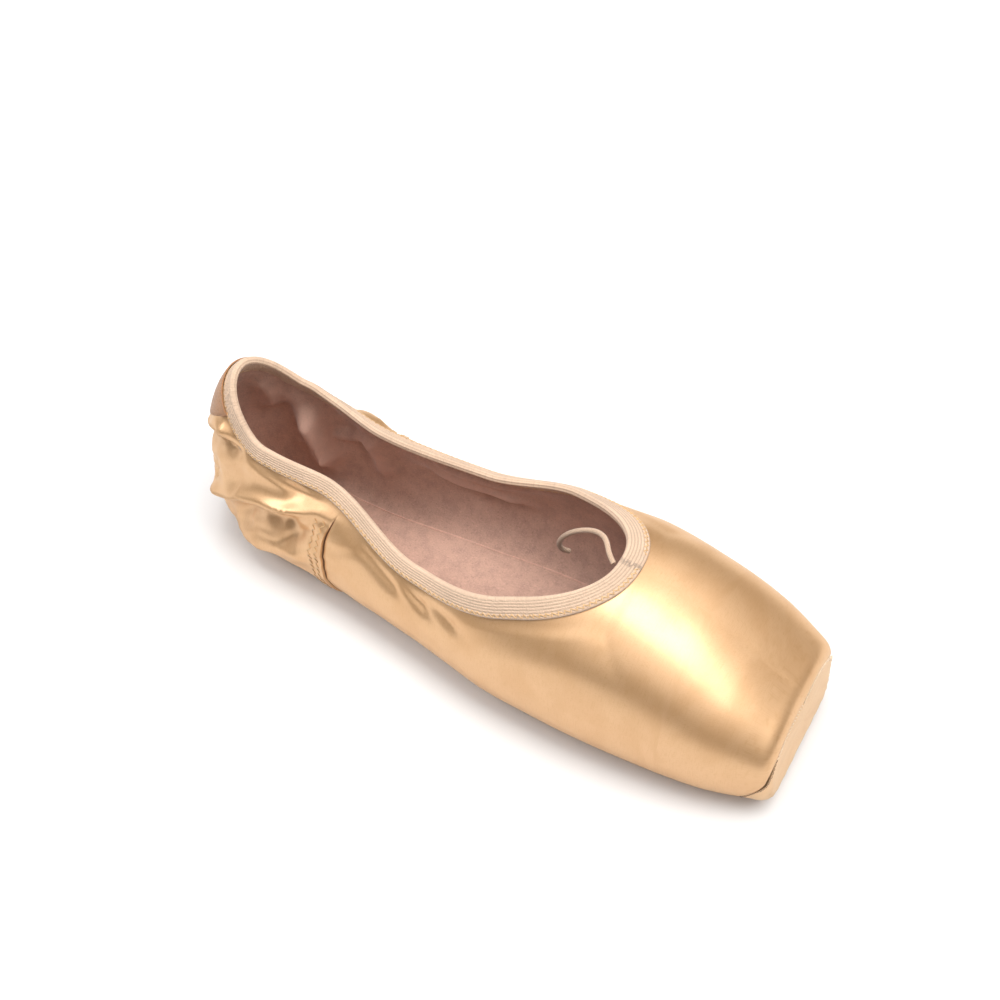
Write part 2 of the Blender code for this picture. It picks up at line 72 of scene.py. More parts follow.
# Last, which is the inside form of the upper
LAST_LENGTH = 233.5 * MM
BALL_WIDTH = 75.0 * MM
INSTEP_HEIGHT = 56.5 * MM
HEEL_HEIGHT = 74.0 * MM
THROAT = 0.718
TOE_LEAN = 0.14
TOE_LEAN_START = 0.84
TOE_LEAN_POWER = 1.5
TOE_EDGE_ROUND = 2.4 * MM
TOE_EDGE_START = math.radians(19)
END_POWER = 2.5

# Upper
BOX_WALL = 2.6 * MM
QUARTER_WALL = 1.5 * MM
MARGIN_WALL = 1.4 * MM
BOX_START = 0.50
BOX_FADE = 0.12
WING_SEAM = 0.293
LAP_HEIGHT = 0.8 * MM
LAP_WIDTH = 14.0 * MM
LAP_BELOW_BINDING = 2.0 * MM
LAP_FADE = 3.0 * MM
BOX_WALL_RISE = 12.0 * MM
MARGIN_START = -0.4
EDGE_STEP = 0.3 * MM

# Sole and insole
SOLE_INSET = 15.0 * MM
SOLE_WIDTH = BALL_WIDTH - 2 * SOLE_INSET
SOLE_THICKNESS = 2.4 * MM
SOLE_FRONT = 0.86
SOLE_FRONT_ROUND = 20.0 * MM
INSOLE_THICKNESS = 1.5 * MM
INSOLE_FRONT = 0.955
INSOLE_FRONT_ROUND = 14.0 * MM
ARCH_LIFT = 2.0 * MM
ARCH_START = 0.18
ARCH_END = 0.60
TOE_SPRING = 3.8 * MM
SPRING_START = 0.80

# Pieces sewn on
PIECE_GAP = 0.3 * MM
BINDING_WIDTH = 6.4 * MM
BINDING_INSIDE = 9.0 * MM
PANEL_DEPTH_BELOW = 5.0 * MM
PANEL_DEPTH_ABOVE = 1.8 * MM
PATCH_WIDTH = 28.0 * MM
PATCH_DROP = 21.0 * MM
PATCH_TAPER = 0.5
CORD_DIAMETER = 1.8 * MM
CORD_POINTS = 60

# Fineness of the walks over the form
MARCH_STEP = 1.0 * MM
SLOPE_NUDGE = 0.05 * MM
FORM_STEPS = 5

# One row for each section of the last. The columns are shares:
# along of LAST_LENGTH, half and flat of half the BALL_WIDTH, sole of half the SOLE_WIDTH,
# widest of INSTEP_HEIGHT over the sole. The top over the sole is a share of HEEL_HEIGHT and
# one of INSTEP_HEIGHT, added. Low and high are the squareness of the section below and above
# its widest level.
COLUMNS = ("along", "half", "flat", "sole", "widest", "heel_top", "instep_top", "low", "high")
SECTIONS = [
    (0.00, 0.96, 0.630, 0.92, 0.31, 1.084, 0.000, 2.1, 2.15),
    (0.12, 0.66, 0.460, 0.71, 0.31, 0.920, 0.000, 2.1, 2.05),
    (0.27, 0.75, 0.430, 0.57, 0.31, 0.706, 0.000, 2.0, 2.10),
    (0.44, 0.88, 0.520, 0.54, 0.31, 0.000, 0.795, 2.0, 2.20),
    (0.59, 0.99, 0.640, 0.90, 0.31, 0.000, 0.980, 2.0, 2.25),
    (0.71, 1.00, 0.655, 1.00, 0.31, 0.000, 1.000, 2.0, 2.30),
    (0.83, 0.95, 0.630, 0.96, 0.31, 0.000, 0.885, 2.1, 2.40),
    (0.92, 0.87, 0.600, 0.90, 0.31, 0.000, 0.725, 2.2, 2.60),
    (1.00, 0.70, 0.500, 0.75, 0.31, 0.000, 0.535, 2.4, 2.80),
]

# The collar edge's height over the floor, as shares of HEEL_HEIGHT, at shares of LAST_LENGTH.
# It ends where it meets the last's top line at the throat.
COLLAR_LINE = [(0.00, 1.00), (0.12, 0.79), (0.27, 0.686), (0.44, 0.547), (0.62, 0.695)]

# The drawstring's loose end in millimetres, from the binding to its curled tip
CORD_ROUTE = [
    (165.6, -1.8, 59.6),
    (162.8, 0.4, 60.6),
    (160.0, 3.8, 61.2),
    (156.5, 6.4, 60.2),
    (151.5, 7.6, 57.6),
    (146.7, 7.4, 54.2),
    (143.0, 6.8, 50.0),
    (141.3, 6.8, 45.5),
    (141.6, 8.0, 41.2),
    (143.4, 10.2, 38.4),
]


def ease(value):
    """From 0 to 1 with a soft start and end."""
    value = np.clip(value, 0, 1)
    return value * value * (3 - 2 * value)


def smooth_curve(stations, values, at):
    """A smooth curve through the values that never overshoots them."""
    stations, values = np.asarray(stations, float), np.asarray(values, float)
    step = np.diff(stations)
    slope = np.diff(values) / step
    tangent = np.zeros_like(values)
    for k in range(1, len(values) - 1):
        if slope[k - 1] * slope[k] > 0:
            before, after = 2 * step[k] + step[k - 1], step[k] + 2 * step[k - 1]
            tangent[k] = (before + after) / (before / slope[k - 1] + after / slope[k])
    tangent[-1] = slope[-1]
    at = np.clip(at, stations[0], stations[-1])
    k = np.clip(np.searchsorted(stations, at) - 1, 0, len(step) - 1)
    t = (at - stations[k]) / step[k]
    return (
        (1 + 2 * t) * (1 - t) ** 2 * values[k]
        + t * (1 - t) ** 2 * step[k] * tangent[k]
        + t * t * (3 - 2 * t) * values[k + 1]
        + t * t * (t - 1) * step[k] * tangent[k + 1]
    )


def way_along(points):
    """How far each of a row of points lies from the first, along the row."""
    return np.append(0.0, np.cumsum(np.linalg.norm(np.diff(points, axis=0), axis=1)))


def natural_curve(stations, values, at):
    """A curve through the values with even bending, as a cord takes."""
    count, step = len(stations), np.diff(stations)
    matrix, right = np.eye(count), np.zeros(count)
    for k in range(1, count - 1):
        matrix[k, k - 1 : k + 2] = step[k - 1], 2 * (step[k - 1] + step[k]), step[k]
        slopes = np.diff(values[k - 1 : k + 2]) / step[k - 1 : k + 1]
        right[k] = 6 * (slopes[1] - slopes[0])
    bend = np.linalg.solve(matrix, right)
    k = np.clip(np.searchsorted(stations, at) - 1, 0, count - 2)
    a, b, h = stations[k + 1] - at, at - stations[k], step[k]
    ends = values[k] / h - bend[k] * h / 6, values[k + 1] / h - bend[k + 1] * h / 6
    return bend[k] * a**3 / (6 * h) + bend[k + 1] * b**3 / (6 * h) + ends[0] * a + ends[1] * b


def column(name):
    return np.array([row[COLUMNS.index(name)] for row in SECTIONS])


def section(name, walk):
    """One column of the sections, where walk is the way in metres from the heel to the toe."""
    return smooth_curve(column("along"), column(name), np.asarray(walk) / LAST_LENGTH)


def half_width(walk):
    return section("half", walk) * BALL_WIDTH / 2


def flat_half_width(walk):
    """Half the flat underside, out to the feather edge where the wall turns up."""
    return section("flat", walk) * BALL_WIDTH / 2


def seat_height(walk):
    """The last's flat underside, level with the top of the sole: flat at heel and forefoot."""
    share = np.asarray(walk) / LAST_LENGTH
    arch = np.sin(np.clip((share - ARCH_START) / (ARCH_END - ARCH_START), 0, 1) * math.pi) ** 2
    spring = np.clip((share - SPRING_START) / (1 - SPRING_START), 0, 1) ** 2
    return SOLE_THICKNESS + ARCH_LIFT * arch + TOE_SPRING * spring


def widest_height(walk):
    return SOLE_THICKNESS + section("widest", walk) * INSTEP_HEIGHT


def top_height(walk):
    heights = column("heel_top") * HEEL_HEIGHT + column("instep_top") * INSTEP_HEIGHT
    return SOLE_THICKNESS + smooth_curve(
        column("along"), heights, np.asarray(walk) / LAST_LENGTH
    )


def rounded_end(half, walk, end, rounding):
    """Half a width that closes in a round end."""
    share = np.clip((walk - end + rounding) / rounding, 0, 1)
    return half * np.sqrt(1 - share**END_POWER)


def sole_half_width(walk):
    half = section("sole", walk) * SOLE_WIDTH / 2
    return rounded_end(half, walk, SOLE_FRONT * LAST_LENGTH, SOLE_FRONT_ROUND)


def insole_half_width(walk):
    half = flat_half_width(walk) - PIECE_GAP
    return rounded_end(half, walk, INSOLE_FRONT * LAST_LENGTH, INSOLE_FRONT_ROUND)


def collar_height(walk):
    throat = THROAT * LAST_LENGTH
    stations = [share * LAST_LENGTH for share, _ in COLLAR_LINE] + [throat]
    heights = [share * HEEL_HEIGHT for _, share in COLLAR_LINE] + [float(top_height(throat))]
    return smooth_curve(stations, heights, walk)


def level_at(walk, up):
    """The rib's level at a height above the widest one."""
    widest, top = widest_height(walk), top_height(walk)
    share = np.clip((up - widest) / (top - widest), 0, 1)
    return np.arcsin(share ** (section("high", walk) / 2)) / QUARTER_TURN


def collar_level(walk):
    """The rib's level at the collar, or 1 where the vamp closes over the top."""
    level = level_at(walk, collar_height(walk))
    return np.where(walk < THROAT * LAST_LENGTH - TINY, level, 1.0)


def rib(walk, level):
    """How far out and how high a rib of the last is at a level.

    Levels run from -2 at the sole's centre line over -1 at the feather edge and
    0 at the widest height to 1 at the top centre line.
    """
    walk, level = np.broadcast_arrays(np.asarray(walk, float), np.asarray(level, float))
    half, flat = half_width(walk), flat_half_width(walk)
    seat, widest, top = seat_height(walk), widest_height(walk), top_height(walk)
    low, high = section("low", walk), section("high", walk)
    corner = np.clip(level + 1, 0, 1) * QUARTER_TURN
    rise = np.clip(level, 0, 1) * QUARTER_TURN
    out_low = flat * np.clip(level + 2, 0, 1) + (half - flat) * np.sin(corner) ** (2 / low)
    up_low = widest - (widest - seat) * np.abs(np.cos(corner)) ** (2 / low)
    out_high = half * np.clip(np.cos(rise), 0, 1) ** (2 / high)
    up_high = widest + (top - widest) * np.sin(rise) ** (2 / high)
    out = np.where(level < 0, out_low, out_high)
    out = np.where((level > 1 - TINY) | (level < -2 + TINY), 0.0, out)
    return out, np.where(level < 0, up_low, up_high)


def heel_pivot():
    """The ribs fan out round this distance from the heel, and run straight across beyond it."""
    return float(half_width(0.0))


def toe_lean(walk):
    share = (walk / LAST_LENGTH - TOE_LEAN_START) / (1 - TOE_LEAN_START)
    return TOE_LEAN * np.clip(share, 0, 1) ** TOE_LEAN_POWER


def place(walk, out, up):
    """A rib's point in the shoe's frame, on the wearer's left side."""
    walk, out, up = np.broadcast_arrays(walk, out, up)
    turn = np.clip(walk / heel_pivot(), 0, 1) * QUARTER_TURN
    forward = np.where(walk < heel_pivot(), heel_pivot() - out * np.cos(turn), walk)
    forward = forward - toe_lean(walk) * (up - widest_height(walk))
    side = np.where(walk > TINY, out * np.sin(turn), 0.0)
    return np.stack([forward, side, up], -1)


def walk_and_out(point):
    """Which rib a point lies on behind the toe, and how far out along it."""
    forward, side, _ = np.moveaxis(point, -1, 0)
    behind = np.maximum(heel_pivot() - forward, 0)
    turn = np.arctan2(np.abs(side), np.maximum(behind, TINY))
    walk = np.where(behind > 0, turn / QUARTER_TURN * heel_pivot(), forward)
    return walk, np.hypot(behind, side)


def form_value(point):
    """Above its widest level the last is where this is zero, and its inside is negative."""
    walk, out = walk_and_out(point)
    widest, top = widest_height(walk), top_height(walk)
    power = section("high", walk)
    rise = np.maximum(point[..., 2] - widest, 0) / (top - widest)
    return (out / half_width(walk)) ** power + rise**power - 1


def form_slope(point):
    slope = [form_value(point + d) - form_value(point - d) for d in np.eye(3) * SLOPE_NUDGE]
    return np.stack(slope, -1) / (2 * SLOPE_NUDGE)


def form_normal(point):
    slope = form_slope(point)
    return slope / np.linalg.norm(slope, axis=-1, keepdims=True)


def onto_form(point):
    """The point moved straight in or out onto the last."""
    for _ in range(FORM_STEPS):
        slope = form_slope(point)
        point = point - slope * (form_value(point) / (slope**2).sum(-1))[..., None]
    return point


def rows_from_collar(walks, distances):
    """Rows of points on the last at these distances from the collar's edge.

    Each row comes with the last's normals there and with the way on from the edge.
    """
    out, up = rib(walks, collar_level(walks))
    edge = place(walks, out, up)
    mirrored = edge * (1, -1, 1)
    loop = np.concatenate([mirrored[1:2], edge, mirrored[-2:-1]])
    along = loop[2:] - loop[:-2]
    point, done = edge, 0.0
    normal = form_normal(point)
    away = np.cross(normal, along)
    rows = []
    for distance in distances:
        strides = max(1, round((distance - done) / MARCH_STEP))
        for _ in range(strides):
            away = away - (away * normal).sum(-1, keepdims=True) * normal
            away = away / np.linalg.norm(away, axis=-1, keepdims=True)
            point = onto_form(point + away * (distance - done) / strides)
            normal = form_normal(point)
        done = distance
        rows.append((point, normal, away))
    return rows


def wall_thickness(walk, level, up):
    """The upper's wall: thin at collar and quarters, stiff round the box, lapped at the seam."""
    throat, seam = THROAT * LAST_LENGTH, WING_SEAM * LAST_LENGTH
    below = np.maximum(collar_height(walk) - up, walk - throat) - BINDING_WIDTH
    clear = ease((below - LAP_BELOW_BINDING) / LAP_FADE)
    box = ease((walk / LAST_LENGTH - BOX_START) / BOX_FADE) * ease(below / BOX_WALL_RISE)
    lap = np.where(walk < seam, ease((walk - seam + LAP_WIDTH) / LAP_WIDTH), 0.0) * clear
    wall = QUARTER_WALL + (BOX_WALL - QUARTER_WALL) * box + LAP_HEIGHT * lap
    margin = ease((MARGIN_START - level) / (MARGIN_START + 1))
    return wall + (MARGIN_WALL - wall) * margin


def steps(start, end, count):
    return list(np.linspace(start, end, count + 1)[1:])


def slowing_steps(start, end, count):
    """Steps that get shorter towards the end, where an outline closes in a round."""
    turn = np.linspace(0, QUARTER_TURN, count + 1)[1:]
    return list(start + (end - start) * np.sin(turn))


def panel_edge(levels):
    """Where the toe panel's seam runs: deep at the bottom, near the face at the top."""
    share = ease(levels + 1)
    return LAST_LENGTH - PANEL_DEPTH_BELOW + (PANEL_DEPTH_BELOW - PANEL_DEPTH_ABOVE) * share


# The form has its heel at X = 0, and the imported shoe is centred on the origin
SHIFT = np.array((CAD_LOW.x + QUARTER_WALL, 0.0, 0.0))

# Fineness of the dressed surfaces
SATIN_STEP = 1.2 * MM
SATIN_COLUMNS = 84
LINING_STEP = 1.7 * MM
LINING_COLUMNS = 56
SATIN_THICKNESS = 0.5 * MM
LINING_THICKNESS = 0.5 * MM
PANEL_BLEND = 9.0 * MM
PANEL_RINGS = 22
PANEL_RING_POWER = 1.6
TOE_ROWS = 18
TOE_SMOOTHINGS = 8
TOE_LEAD_IN = 7
WELD = 0.02 * MM
NODE_WELD = 0.005 * MM
THROAT_CLOSE = 30.0 * MM
BINDING_CLOSE = 34.0 * MM
SOLE_CLOSE = 12.0 * MM
LINING_LOWEST = -1.25

# How far the toe's seam lies beyond the rounded edge's start, at levels of the last
TOE_SEAM_LEVELS = (-2.0, -0.9, -0.45, 0.0, 0.5, 1.0)
TOE_SEAM_SHIFTS = (-4.0, -4.6, -3.6, 2.0, 6.0, 6.0)

# How far the wing seam bows forward of its straight line, at levels of the last
WING_BOW_LEVELS = (-2.0, -0.7, 0.2, 0.75, 1.0)
WING_BOW_SHIFTS = (0.5, 0.5, -2.6, 3.0, 4.0)
WING_BOW_REACH = 20.0 * MM

# Soft folds of the quarters and the vamp's side, each a ridge where height is above zero and
# a trough where it is below. Side is -1 for the wearer's right, and the route's points are
# (walk from the heel, height over the floor), all in millimetres.
FOLDS = [
    (-1, 1.5, 3.2, ((0, 44), (7, 47), (11, 53), (18, 57), (21, 57))),
    (-1, -1.7, 2.6, ((3, 40), (8, 45), (16, 51), (26, 52))),
    (-1, 2.5, 3.4, ((4, 17), (10, 21), (18, 28), (29, 36), (39, 39), (48, 40), (58, 42), (66, 46))),
    (-1, -1.7, 3.2, ((46, 48), (57, 49), (64, 48.5))),
    (-1, -2.6, 6.0, ((18, 17), (28, 25), (37, 30), (51, 33), (61, 35))),
    (-1, 1.7, 4.0, ((17, 8), (26, 12), (35, 15), (46, 18), (56, 23), (63, 29))),
    (-1, -0.9, 1.6, ((14, 40), (11, 23))),
    (-1, -0.9, 2.2, ((44, 21), (54, 29), (63, 37))),
    (-1, -0.9, 2.6, ((78, 42), (88, 38), (102, 31))),
    (-1, 0.7, 3.0, ((84, 43), (96, 37), (110, 31))),
    (-1, -1.0, 2.6, ((90, 41), (102, 35.5), (116, 31))),
    (-1, -0.7, 2.6, ((104, 40), (114, 36), (130, 33))),
    (1, 1.6, 3.2, ((0, 44), (8, 46), (15, 50), (24, 52))),
    (1, -1.7, 2.8, ((3, 39), (10, 42), (20, 46), (31, 50))),
    (1, 2.1, 3.8, ((5, 22), (14, 28), (26, 33), (38, 37), (50, 42), (61, 45))),
    (1, -2.2, 4.2, ((16, 18), (28, 25), (40, 30), (52, 33), (62, 35))),
    (1, 1.5, 4.0, ((14, 9), (26, 13), (38, 19), (50, 25), (62, 31))),
    (1, -1.3, 2.8, ((38, 46), (48, 48), (58, 48))),
    (1, -0.9, 2.0, ((48, 18), (56, 26), (63, 34))),
    (1, -0.8, 3.0, ((82, 41), (92, 36), (106, 30))),
    (1, -0.8, 3.0, ((100, 40), (110, 35), (124, 31))),
]

# Folds of the lining, which show inside the shoe
LINING_FOLDS = [
    (1, 5.0, 8.0, ((23, 47), (26, 38), (29, 20), (32, 8))),
    (1, -1.0, 4.5, ((16, 46), (19, 32), (22, 14))),
    (1, 1.6, 6.0, ((9, 62), (13, 50), (14, 38))),
    (1, -1.1, 5.0, ((40, 42), (44, 28), (49, 12))),
    (1, 2.4, 6.0, ((50, 38), (54, 24), (58, 12))),
    (1, 1.8, 4.0, ((72, 29), (92, 25), (118, 24))),
    (1, -1.0, 4.0, ((68, 24), (90, 20), (122, 18))),
    (1, 1.4, 4.0, ((74, 38), (90, 34), (112, 33))),
    (-1, 2.6, 5.5, ((6, 60), (14, 44), (22, 26))),
    (-1, -1.5, 3.0, ((22, 50), (34, 36), (48, 26))),
    (-1, 2.2, 5.5, ((36, 40), (44, 26), (50, 12))),
    (-1, 1.4, 4.5, ((60, 38), (76, 30), (104, 26))),
    (-1, -1.4, 3.0, ((58, 26), (80, 20), (110, 17))),
]

# The lining's own seam, where a strip covers the join
LINING_SEAM = ((55, 42), (57, 32), (59.5, 23), (65, 10.5), (71, 6))
STRIP_HEIGHT = 0.45
STRIP_WIDTH = 3.4

# The quarter's fold lengths run wider than the walk round the heel
HEEL_STRETCH = 1.42
RUMPLE = 0.5 * MM
RUMPLE_SIZE = 16.0 * MM
RUMPLE_FADE_FROM = 60.0 * MM
RUMPLE_FADE = 70.0 * MM
RUMPLE_LOSS = 0.85
CRUMPLE = 0.9 * MM
CRUMPLE_SIZE = (17.0, 7.5)
CRUMPLE_FADE_FROM = 56.0 * MM
CRUMPLE_FADE = 34.0 * MM
LINING_RUMPLE = 0.9 * MM
LINING_RUMPLE_SIZE = 13.0 * MM
TOE_DENT = 0.3 * MM
TOE_DENT_SIZE = 13.0 * MM
TOE_GAP = 0.1 * MM
FOLD_SHARPNESS = 1.6
FOLD_STRENGTH = 1.95
TUCK = 0.55 * MM
PLEAT_PITCH = 4.2 * MM
PLEAT_HEIGHT = 0.45 * MM
PLEATS_FROM = 0.62
PLEATS_FADE = 0.12
PLEATS_LEVEL = -0.55
PLEATS_LEVEL_FADE = 0.45
PLEATS_SHORT_OF_TOE = 6.0 * MM
SEAM_GROOVE = 0.55 * MM
SEAM_GROOVE_WIDTH = 0.7 * MM
PANEL_GROOVE = 0.25 * MM

# The rows that close the lining's toe, as shares of the way out from the middle
TOE_END_SHARES = (0.93, 0.82, 0.66, 0.5, 0.34, 0.18, 0.01)
TOE_END_DEPTH = 1.2 * MM

# The room between the lining, the satin and the foot's form
CLOTH_GAP = 0.25 * MM

# Binding and heel patch
BINDING_STEP = 1.1 * MM
NARROW_BINDING = 0.76
NARROW_UNTIL = 0.42
NARROW_FADE = 0.26
BINDING_RIM_ROWS = 18
BAND_SEAT = 0.1 * MM
RIB_FADE = 1.2 * MM
EDGE_DIP = 0.35 * MM
EDGE_DIP_WIDTH = 0.8 * MM
PATCH_ROWS = 24
PATCH_COLUMNS = 26
PATCH_CLOTH = 0.5 * MM
TOE_CLOTH = 0.8 * MM

# Soles
INSOLE_CUTS = 5
OUTSOLE_CUTS = 3
INSOLE_SWELL = 0.35 * MM
INSOLE_CREASE = 0.22 * MM
INSOLE_CREASE_WIDTH = 0.6 * MM
INSOLE_SEAM_INSET = 0.8 * MM

# Stitches
ZIGZAG_EDGES = (0.5 * MM, 1.7 * MM)
ZIGZAG_PITCH = 1.05 * MM
INNER_ROW_FROM_EDGE = 1.2 * MM
INNER_ROW_PITCH = 0.9 * MM
WING_ROWS = (2.4 * MM, 5.4 * MM)
WING_ROWS_FROM = 9.0 * MM
WING_STITCH = 1.25 * MM
WING_SWAY = 0.65 * MM
WING_LIFT = 0.12 * MM
TOE_STITCH = 1.35 * MM
TOE_STITCH_REACH = 0.9 * MM
TOE_STITCH_SLANT = 0.3 * MM
TOE_STITCH_RISE = 0.2 * MM


def fold_arc(walk):
    """Millimetres along the shoe's side from the middle of the heel."""
    pivot = heel_pivot()
    stretched = np.minimum(walk, pivot) * HEEL_STRETCH
    return (stretched + np.maximum(walk - pivot, 0)) / MM


def fold_heights(table, side, walk, up):
    """The summed ridges and troughs at places on one side, in metres."""
    along = fold_arc(walk) * side
    total = np.zeros(np.shape(along))
    for fold_side, height, width, route in table:
        line = np.array([(fold_arc(w * MM) * fold_side, z) for w, z in route])
        nearest = np.full(np.shape(along), np.inf)
        where = np.zeros(np.shape(along))
        lengths = way_along(line)
        for k, (start, end) in enumerate(zip(line[:-1], line[1:])):
            run = end - start
            t = ((along - start[0]) * run[0] + (up / MM - start[1]) * run[1]) / (run @ run)
            t = np.clip(t, 0, 1)
            gap = np.hypot(along - start[0] - t * run[0], up / MM - start[1] - t * run[1])
            closer = gap < nearest
            nearest = np.where(closer, gap, nearest)
            where = np.where(closer, lengths[k] + t * np.linalg.norm(run), where)
        fade = ease(where / lengths[-1] * 4) * ease((1 - where / lengths[-1]) * 4)
        profile = np.exp(-((nearest / width) ** FOLD_SHARPNESS))
        total += height * MM * (0.25 + 0.75 * fade) * profile
    return total


def soft_noise(points, size, seed):
    """Smooth random heights from -1 to 1 over an array of points."""
    flat = points.reshape(-1, 3) / size + seed
    values = [noise.noise(Vector(p)) for p in flat]
    return np.array(values).reshape(points.shape[:-1])


def shell_walks(step):
    """The rows from the heel to the toe's seam, close together beside the wing seam."""
    seam, throat = WING_SEAM * LAST_LENGTH, THROAT * LAST_LENGTH
    front = SOLE_FRONT * LAST_LENGTH
    half_step = EDGE_STEP / 2
    walks = [0.0] + steps(0.0, heel_pivot(), round(heel_pivot() * 1.5 / step))
    walks += steps(walks[-1], seam - 4 * half_step, round((seam - walks[-1]) / step))
    walks += [seam - half_step, seam + half_step, seam + 3 * half_step]
    walks += [seam + half_step + SEAM_GROOVE_WIDTH]
    to_throat, to_front = throat - THROAT_CLOSE, front - SOLE_CLOSE
    walks += steps(walks[-1], to_throat, round((to_throat - walks[-1]) / step))
    walks += slowing_steps(walks[-1], throat, round(42 * MM / step))
    walks += steps(throat, to_front, round((to_front - throat) / step))
    walks += slowing_steps(walks[-1], front, round(16 * MM / step))
    blend = LAST_LENGTH - PANEL_BLEND
    return walks + steps(front, blend, round((blend - front) / step))


def bowed(walk, level):
    """The walk with the rows beside the wing seam bent to follow its curve."""
    bow = smooth_curve(WING_BOW_LEVELS, WING_BOW_SHIFTS, level) * MM
    return walk + bow * np.exp(-(((walk - WING_SEAM * LAST_LENGTH) / WING_BOW_REACH) ** 2))


def even_levels(walk, count, lowest=-2.0):
    """A row's levels, evenly spaced round the last from the sole's edge to the collar."""
    opening = -2.0
    if walk < SOLE_FRONT * LAST_LENGTH - TINY:
        opening = float(sole_half_width(walk) / flat_half_width(walk)) - 2
    opening = max(opening, lowest)
    top = float(collar_level(np.array(walk)))
    low = np.linspace(opening, -1, 16) if opening < -1 else np.array([opening])
    dense = np.concatenate([low, steps(low[-1], 0, 30), steps(0, top, 80)])
    points = place(walk, *rib(walk, dense))
    arc = way_along(points)
    return np.interp(np.linspace(0, arc[-1], count), arc, dense), arc[-1]


def toe_lines(level):
    """Lines at these levels over the toe's edge to the middle of its face, with their seam."""
    edge, blend = panel_edge(level), LAST_LENGTH - PANEL_BLEND
    lines, walks = [], []
    for share in np.linspace(0, 1, 24):
        walk = blend + (edge - blend) * share
        lines.append(place(walk, *rib(walk, level)))
        walks.append(walk)
    seam_row = len(lines) - 1
    out, up = rib(edge, level)
    centre = widest_height(LAST_LENGTH)
    reach = np.hypot(out, up - centre)
    start_sine, start_cosine = math.sin(TOE_EDGE_START), math.cos(TOE_EDGE_START)

    def add(share, inset):
        walk = edge + (LAST_LENGTH - edge) * share
        lean = toe_lean(edge) + (TOE_LEAN - toe_lean(edge)) * share
        rise = (up - centre) * inset
        lines.append(np.stack([walk - lean * rise, out * inset, centre + rise], -1))
        walks.append(walk)

    for turn in np.linspace(TOE_EDGE_START, QUARTER_TURN, 15)[1:]:
        inset = 1 - TOE_EDGE_ROUND * (start_cosine - math.cos(turn)) / reach
        add((math.sin(turn) - start_sine) / (1 - start_sine), inset)
    for share in np.linspace(1, 0, 30)[1:]:
        add(1.0, inset * share)
    lines = np.array(lines)
    arc = np.cumsum(np.linalg.norm(np.diff(lines, axis=0), axis=2), 0)
    arc = np.concatenate([np.zeros((1, len(level))), arc])
    seam = arc[seam_row] + smooth_curve(TOE_SEAM_LEVELS, TOE_SEAM_SHIFTS, level) * MM
    return lines, np.array(walks), arc, seam


def along_lines(lines, walks, arc, at):
    """Points and walks at distances along each line."""
    found, ways = np.empty(at.shape + (3,)), np.empty(at.shape)
    for k in range(at.shape[1]):
        ways[:, k] = np.interp(at[:, k], arc[:, k], walks[:, k])
        for axis in range(3):
            found[:, k, axis] = np.interp(at[:, k], arc[:, k], lines[:, k, axis])
    return found, ways


def half_shell(step, count, lowest=-2.0):
    """A fine half surface of the last: walks, levels, points, and ways round and to the seam."""
    walks, levels, points, around = [], [], [], []
    for start in shell_walks(step):
        level, length = even_levels(start, count, lowest)
        walk = bowed(start, level)
        level = np.minimum(level, collar_level(walk))
        walks.append(np.full(count, start))
        levels.append(level)
        points.append(place(walk, *rib(walk, level)))
        around.append(np.linspace(0, length, count))
    lines, ways, arc, seam = toe_lines(level)
    at = (seam - TOE_GAP / 2) * np.array(steps(0, 1, TOE_ROWS))[:, None]
    found, way = along_lines(lines, ways, arc, at)
    to_seam = np.concatenate([np.full((len(walks), count), 1.0), seam - TOE_GAP / 2 - at])
    walks = np.concatenate([walks, way])
    levels = np.concatenate([levels, np.repeat(level[None], TOE_ROWS, 0)])
    around = np.concatenate([around, np.repeat(around[-1][None], TOE_ROWS, 0)])
    points = np.concatenate([points, found])
    first = len(points) - TOE_ROWS - TOE_LEAD_IN
    for _ in range(TOE_SMOOTHINGS):
        around_each = points[first - 1 : -2] + points[first + 1 :]
        points[first:-1] = (around_each + 2 * points[first:-1]) / 4
    return walks, levels, points, around, to_seam


def grid_normals(points):
    """Outward normals of a half surface on the +Y side, kept in the middle plane where it ends."""
    down_rows = np.gradient(points, axis=0)
    up_columns = np.gradient(points, axis=1)
    normal = np.cross(up_columns, down_rows)
    middle = np.abs(points[..., 1]) < TINY
    normal[..., 1] = np.where(middle, 0.0, normal[..., 1])
    return normal / np.maximum(np.linalg.norm(normal, axis=-1, keepdims=True), 1e-12)


def crumple(walk, up, side):
    """Sharp little creases that run roughly along the quarters."""
    along, rise = fold_arc(walk) * side / CRUMPLE_SIZE[0], up / MM / CRUMPLE_SIZE[1]
    spots = np.stack([along, rise - 0.5 * np.abs(along), np.full(np.shape(walk), 0.37 * side)], -1)
    swirl = soft_noise(spots, 1.9, 12.5)
    spots = spots + np.stack([swirl, 0.8 * swirl, 0 * swirl], -1)
    return (0.55 - np.abs(soft_noise(spots, 1.0, 4.4)) * 2.2) * CRUMPLE


def pleats(walk, level, points):
    """Gathers of the satin under the toe, running out from the sole's front edge."""
    centre = SOLE_FRONT * LAST_LENGTH - SOLE_FRONT_ROUND
    ahead = points[..., 0] - centre
    turn = np.arctan2(np.maximum(ahead, 0), np.abs(points[..., 1]) + TINY)
    phase = np.where(ahead > 0, turn * SOLE_FRONT_ROUND * 1.3, ahead) / PLEAT_PITCH
    near_sole = ease((PLEATS_LEVEL - level) / PLEATS_LEVEL_FADE)
    forward = ease((walk / LAST_LENGTH - PLEATS_FROM) / PLEATS_FADE)
    wave = np.cos(2 * math.pi * phase + 0.6 * np.sin(phase * 2.1))
    behind_toe = walk < LAST_LENGTH - PLEATS_SHORT_OF_TOE
    return PLEAT_HEIGHT * (wave - 0.4) * near_sole * forward * behind_toe


